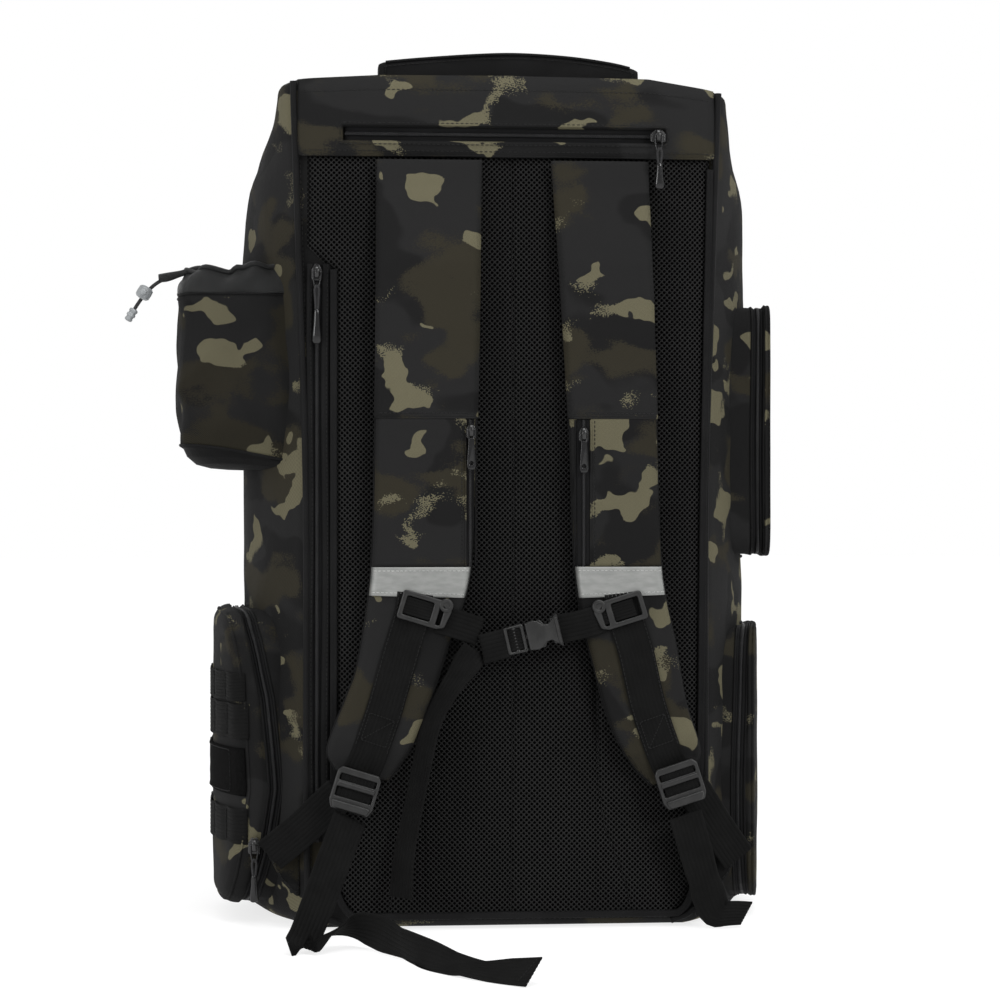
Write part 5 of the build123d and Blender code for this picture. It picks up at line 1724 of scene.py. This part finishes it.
# ================================================================ door side and the shelf
def front():
    """The face away from the wearer: a frame round the zipped door, and a bellows pocket on it."""
    low, high = span("front_door")
    door_z, half, tall = (low[2] + high[2]) / 2, high[0], high[2] - low[2]
    count = 260

    def outline(grow, width=2 * half, height=tall, middle=door_z, corner=30.0):
        """A rounded upright outline in X and Z, grown all round."""
        shape = oblong(0, middle, width + 2 * grow, height + 2 * grow, corner + grow)
        return evenly(np.vstack([shape, shape[:1]]), count + 1)[:-1]

    def level(shape, y):
        """An outline at one depth."""
        return np.column_stack([shape[:, 0], np.broadcast_to(y, len(shape)), shape[:, 1]])

    def closed(points):
        """The points with the first one again at the end."""
        return np.vstack([points, points[:1]])

    side = np.array([(*side_line(z, edge_inset(z, 14.0, 6.0))[0], z)
                     for z in np.linspace(0.3, top_z - 0.2, 140)])
    outer = evenly(closed(np.vstack([side[:1] * (-1, 1, 1), side, side[::-1] * (-1, 1, 1)])), count + 1)[:-1]
    outer = crowned(outer)
    inner = level(outline(0.9), front_y)
    rows = []
    for t in (0, 0.03, 0.07, 0.15, 0.3, 0.5, 0.7, 0.85, 0.94, 0.98, 1.0):
        row = outer + (inner - outer) * t
        row[:, 1] = front_y - (front_y - outer[:, 1]) * (1 - t) ** 4 - 1.4 * math.exp(-(1 - t) / 0.02)
        rows.append(row)
    frame = lined(piece("front_frame_cloth", np.vstack(rows), grid_faces(len(rows), count, closed=True), "bag",
                        CAMO[0]), 2.0)
    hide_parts("front_frame")
    for name, grow, body, look in (("frame", 5.0, "bag", TAPE), ("door", -4.6, "front_door", TAPE)):
        line = closed(level(outline(grow), front_y + 0.4))
        across = unit(line - (0, front_y + 0.4, door_z)) * (1, 0, 1)
        ribbon(f"front_{name}_tape", line, unit(across), 8.0, body, look, thick=0.9, ribs=4, rib_height=0.12)
        tube(f"front_{name}_binding", closed(level(outline(grow * 1.8), front_y + 0.6)), 1.1, body, TRIM,
             sides=8)
    coil("front_door_coil", closed(level(outline(-1.7), front_y + 0.6)), (0, 1, 0), "front_door")

    rows = []
    for scale in (1.0, 0.985, 0.96, 0.9, 0.8, 0.66, 0.5, 0.34, 0.18, 0.05):
        shape = (0, door_z) + (outline(-0.8) - (0, door_z)) * scale
        rise = 1.2 * (1 - scale ** 6)
        rows.append(level(shape, np.array([front_y - 0.3 + rise + 0.7 * noise.noise(Vector((x / 50, z / 50, 9.0)))
                                           * (1 - scale) for x, z in shape])))
    faces = grid_faces(len(rows), count, closed=True)
    faces.append(tuple(range((len(rows) - 1) * count, len(rows) * count)))
    door = lined(piece("front_door_cloth", np.vstack(rows), faces, "front_door", CAMO[3]), 2.0)
    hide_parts("front_door")
    stitches("front_door_stitches", closed(level(outline(-12.0), front_y + 0.9)), (0, 1, 0), "front_door")

    low, high = span("front_pocket")
    face, middle = high[1], (low[2] + high[2]) / 2
    size = (high[0] - low[0], high[2] - low[2])
    depths = [(front_y + 0.8, 0.0), (98.5, 0.4), (103, 0.8), (107, 0.8), (111, 0.7), (115, 0.7), (119, 0.8),
              (123, 0.4), (face - 10, 0.0)]
    depths += [(face - 10 + 9.0 * math.sin(a), 9.0 * (1 - math.cos(a)))
               for a in np.linspace(0.3, math.pi / 2, 6)]
    rows = []
    for y, inset in depths:
        shape = outline(-inset, *size, middle, 16.0)
        rows.append(level(shape, y))
    rim = outline(-9.0, *size, middle, 16.0)
    for scale in (0.94, 0.85, 0.7, 0.5, 0.3, 0.1):
        shape = (0, middle) + (rim - (0, middle)) * scale
        rows.append(level(shape, np.array([face - 1.6 + 0.8 * (1 - scale) + 0.7 * noise.noise(
            Vector((x / 40, z / 40, 4.0))) for x, z in shape])))
    points = np.vstack(rows)
    faces = []
    for quad in grid_faces(len(rows), count, closed=True):
        x, y, z = points[list(quad)].mean(axis=0)
        if not (107 < y < 119 and abs(x) < 79 and z > middle):
            faces.append(quad)
    faces.append(tuple(range((len(rows) - 1) * count, len(rows) * count)))
    pocket = lined(piece("front_pocket_cloth", points, faces, "front_door", CAMO[1]), 2.0)
    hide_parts("front_pocket")
    mouth = [(x, y, high[2] - 0.2) for x, y in rounded([(-79, 107), (79, 107), (79, 119), (-79, 119)], 2.0)]
    tube("front_pocket_mouth", closed(np.array(mouth)), 1.3, "front_door", TRIM, sides=8)
    stitches("front_pocket_stitches", closed(level(outline(-14.0, *size, middle, 16.0), face - 0.5)), (0, 1, 0),
             "front_door")


front()


def divider_shelf():
    """Padded shelf between the main compartment and the tray compartment below it."""
    low, high = span("divider_shelf")
    side = np.array([point for point in side_line(235, 6.5) if low[1] <= point[1] <= high[1]])
    loop = np.vstack([side, side[::-1] * (-1, 1)])
    loop = evenly(np.vstack([loop, loop[:1]]), 161)[:-1]
    middle = loop.mean(axis=0)
    rows = []
    for scale, height in ((0.05, 1.0), (0.35, 1.0), (0.65, 1.0), (0.9, 0.95), (0.98, 0.8), (1.0, 0.0),
                          (0.98, -0.8), (0.9, -0.95), (0.65, -1.0), (0.35, -1.0), (0.05, -1.0)):
        plan = middle + (loop - middle) * scale
        rows.append(np.array([(x, y, 235 + height * 3.0 + 0.4 * noise.noise(Vector((x / 40, y / 40, height))))
                              for x, y in plan]))
    faces = grid_faces(len(rows), len(loop), closed=True)
    faces += [tuple(range(len(loop))), tuple(range((len(rows) - 1) * len(loop), len(rows) * len(loop)))]
    shelf = piece("divider_shelf_pad", np.vstack(rows), faces, "bag", NYLON)
    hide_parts("divider_shelf")


divider_shelf()
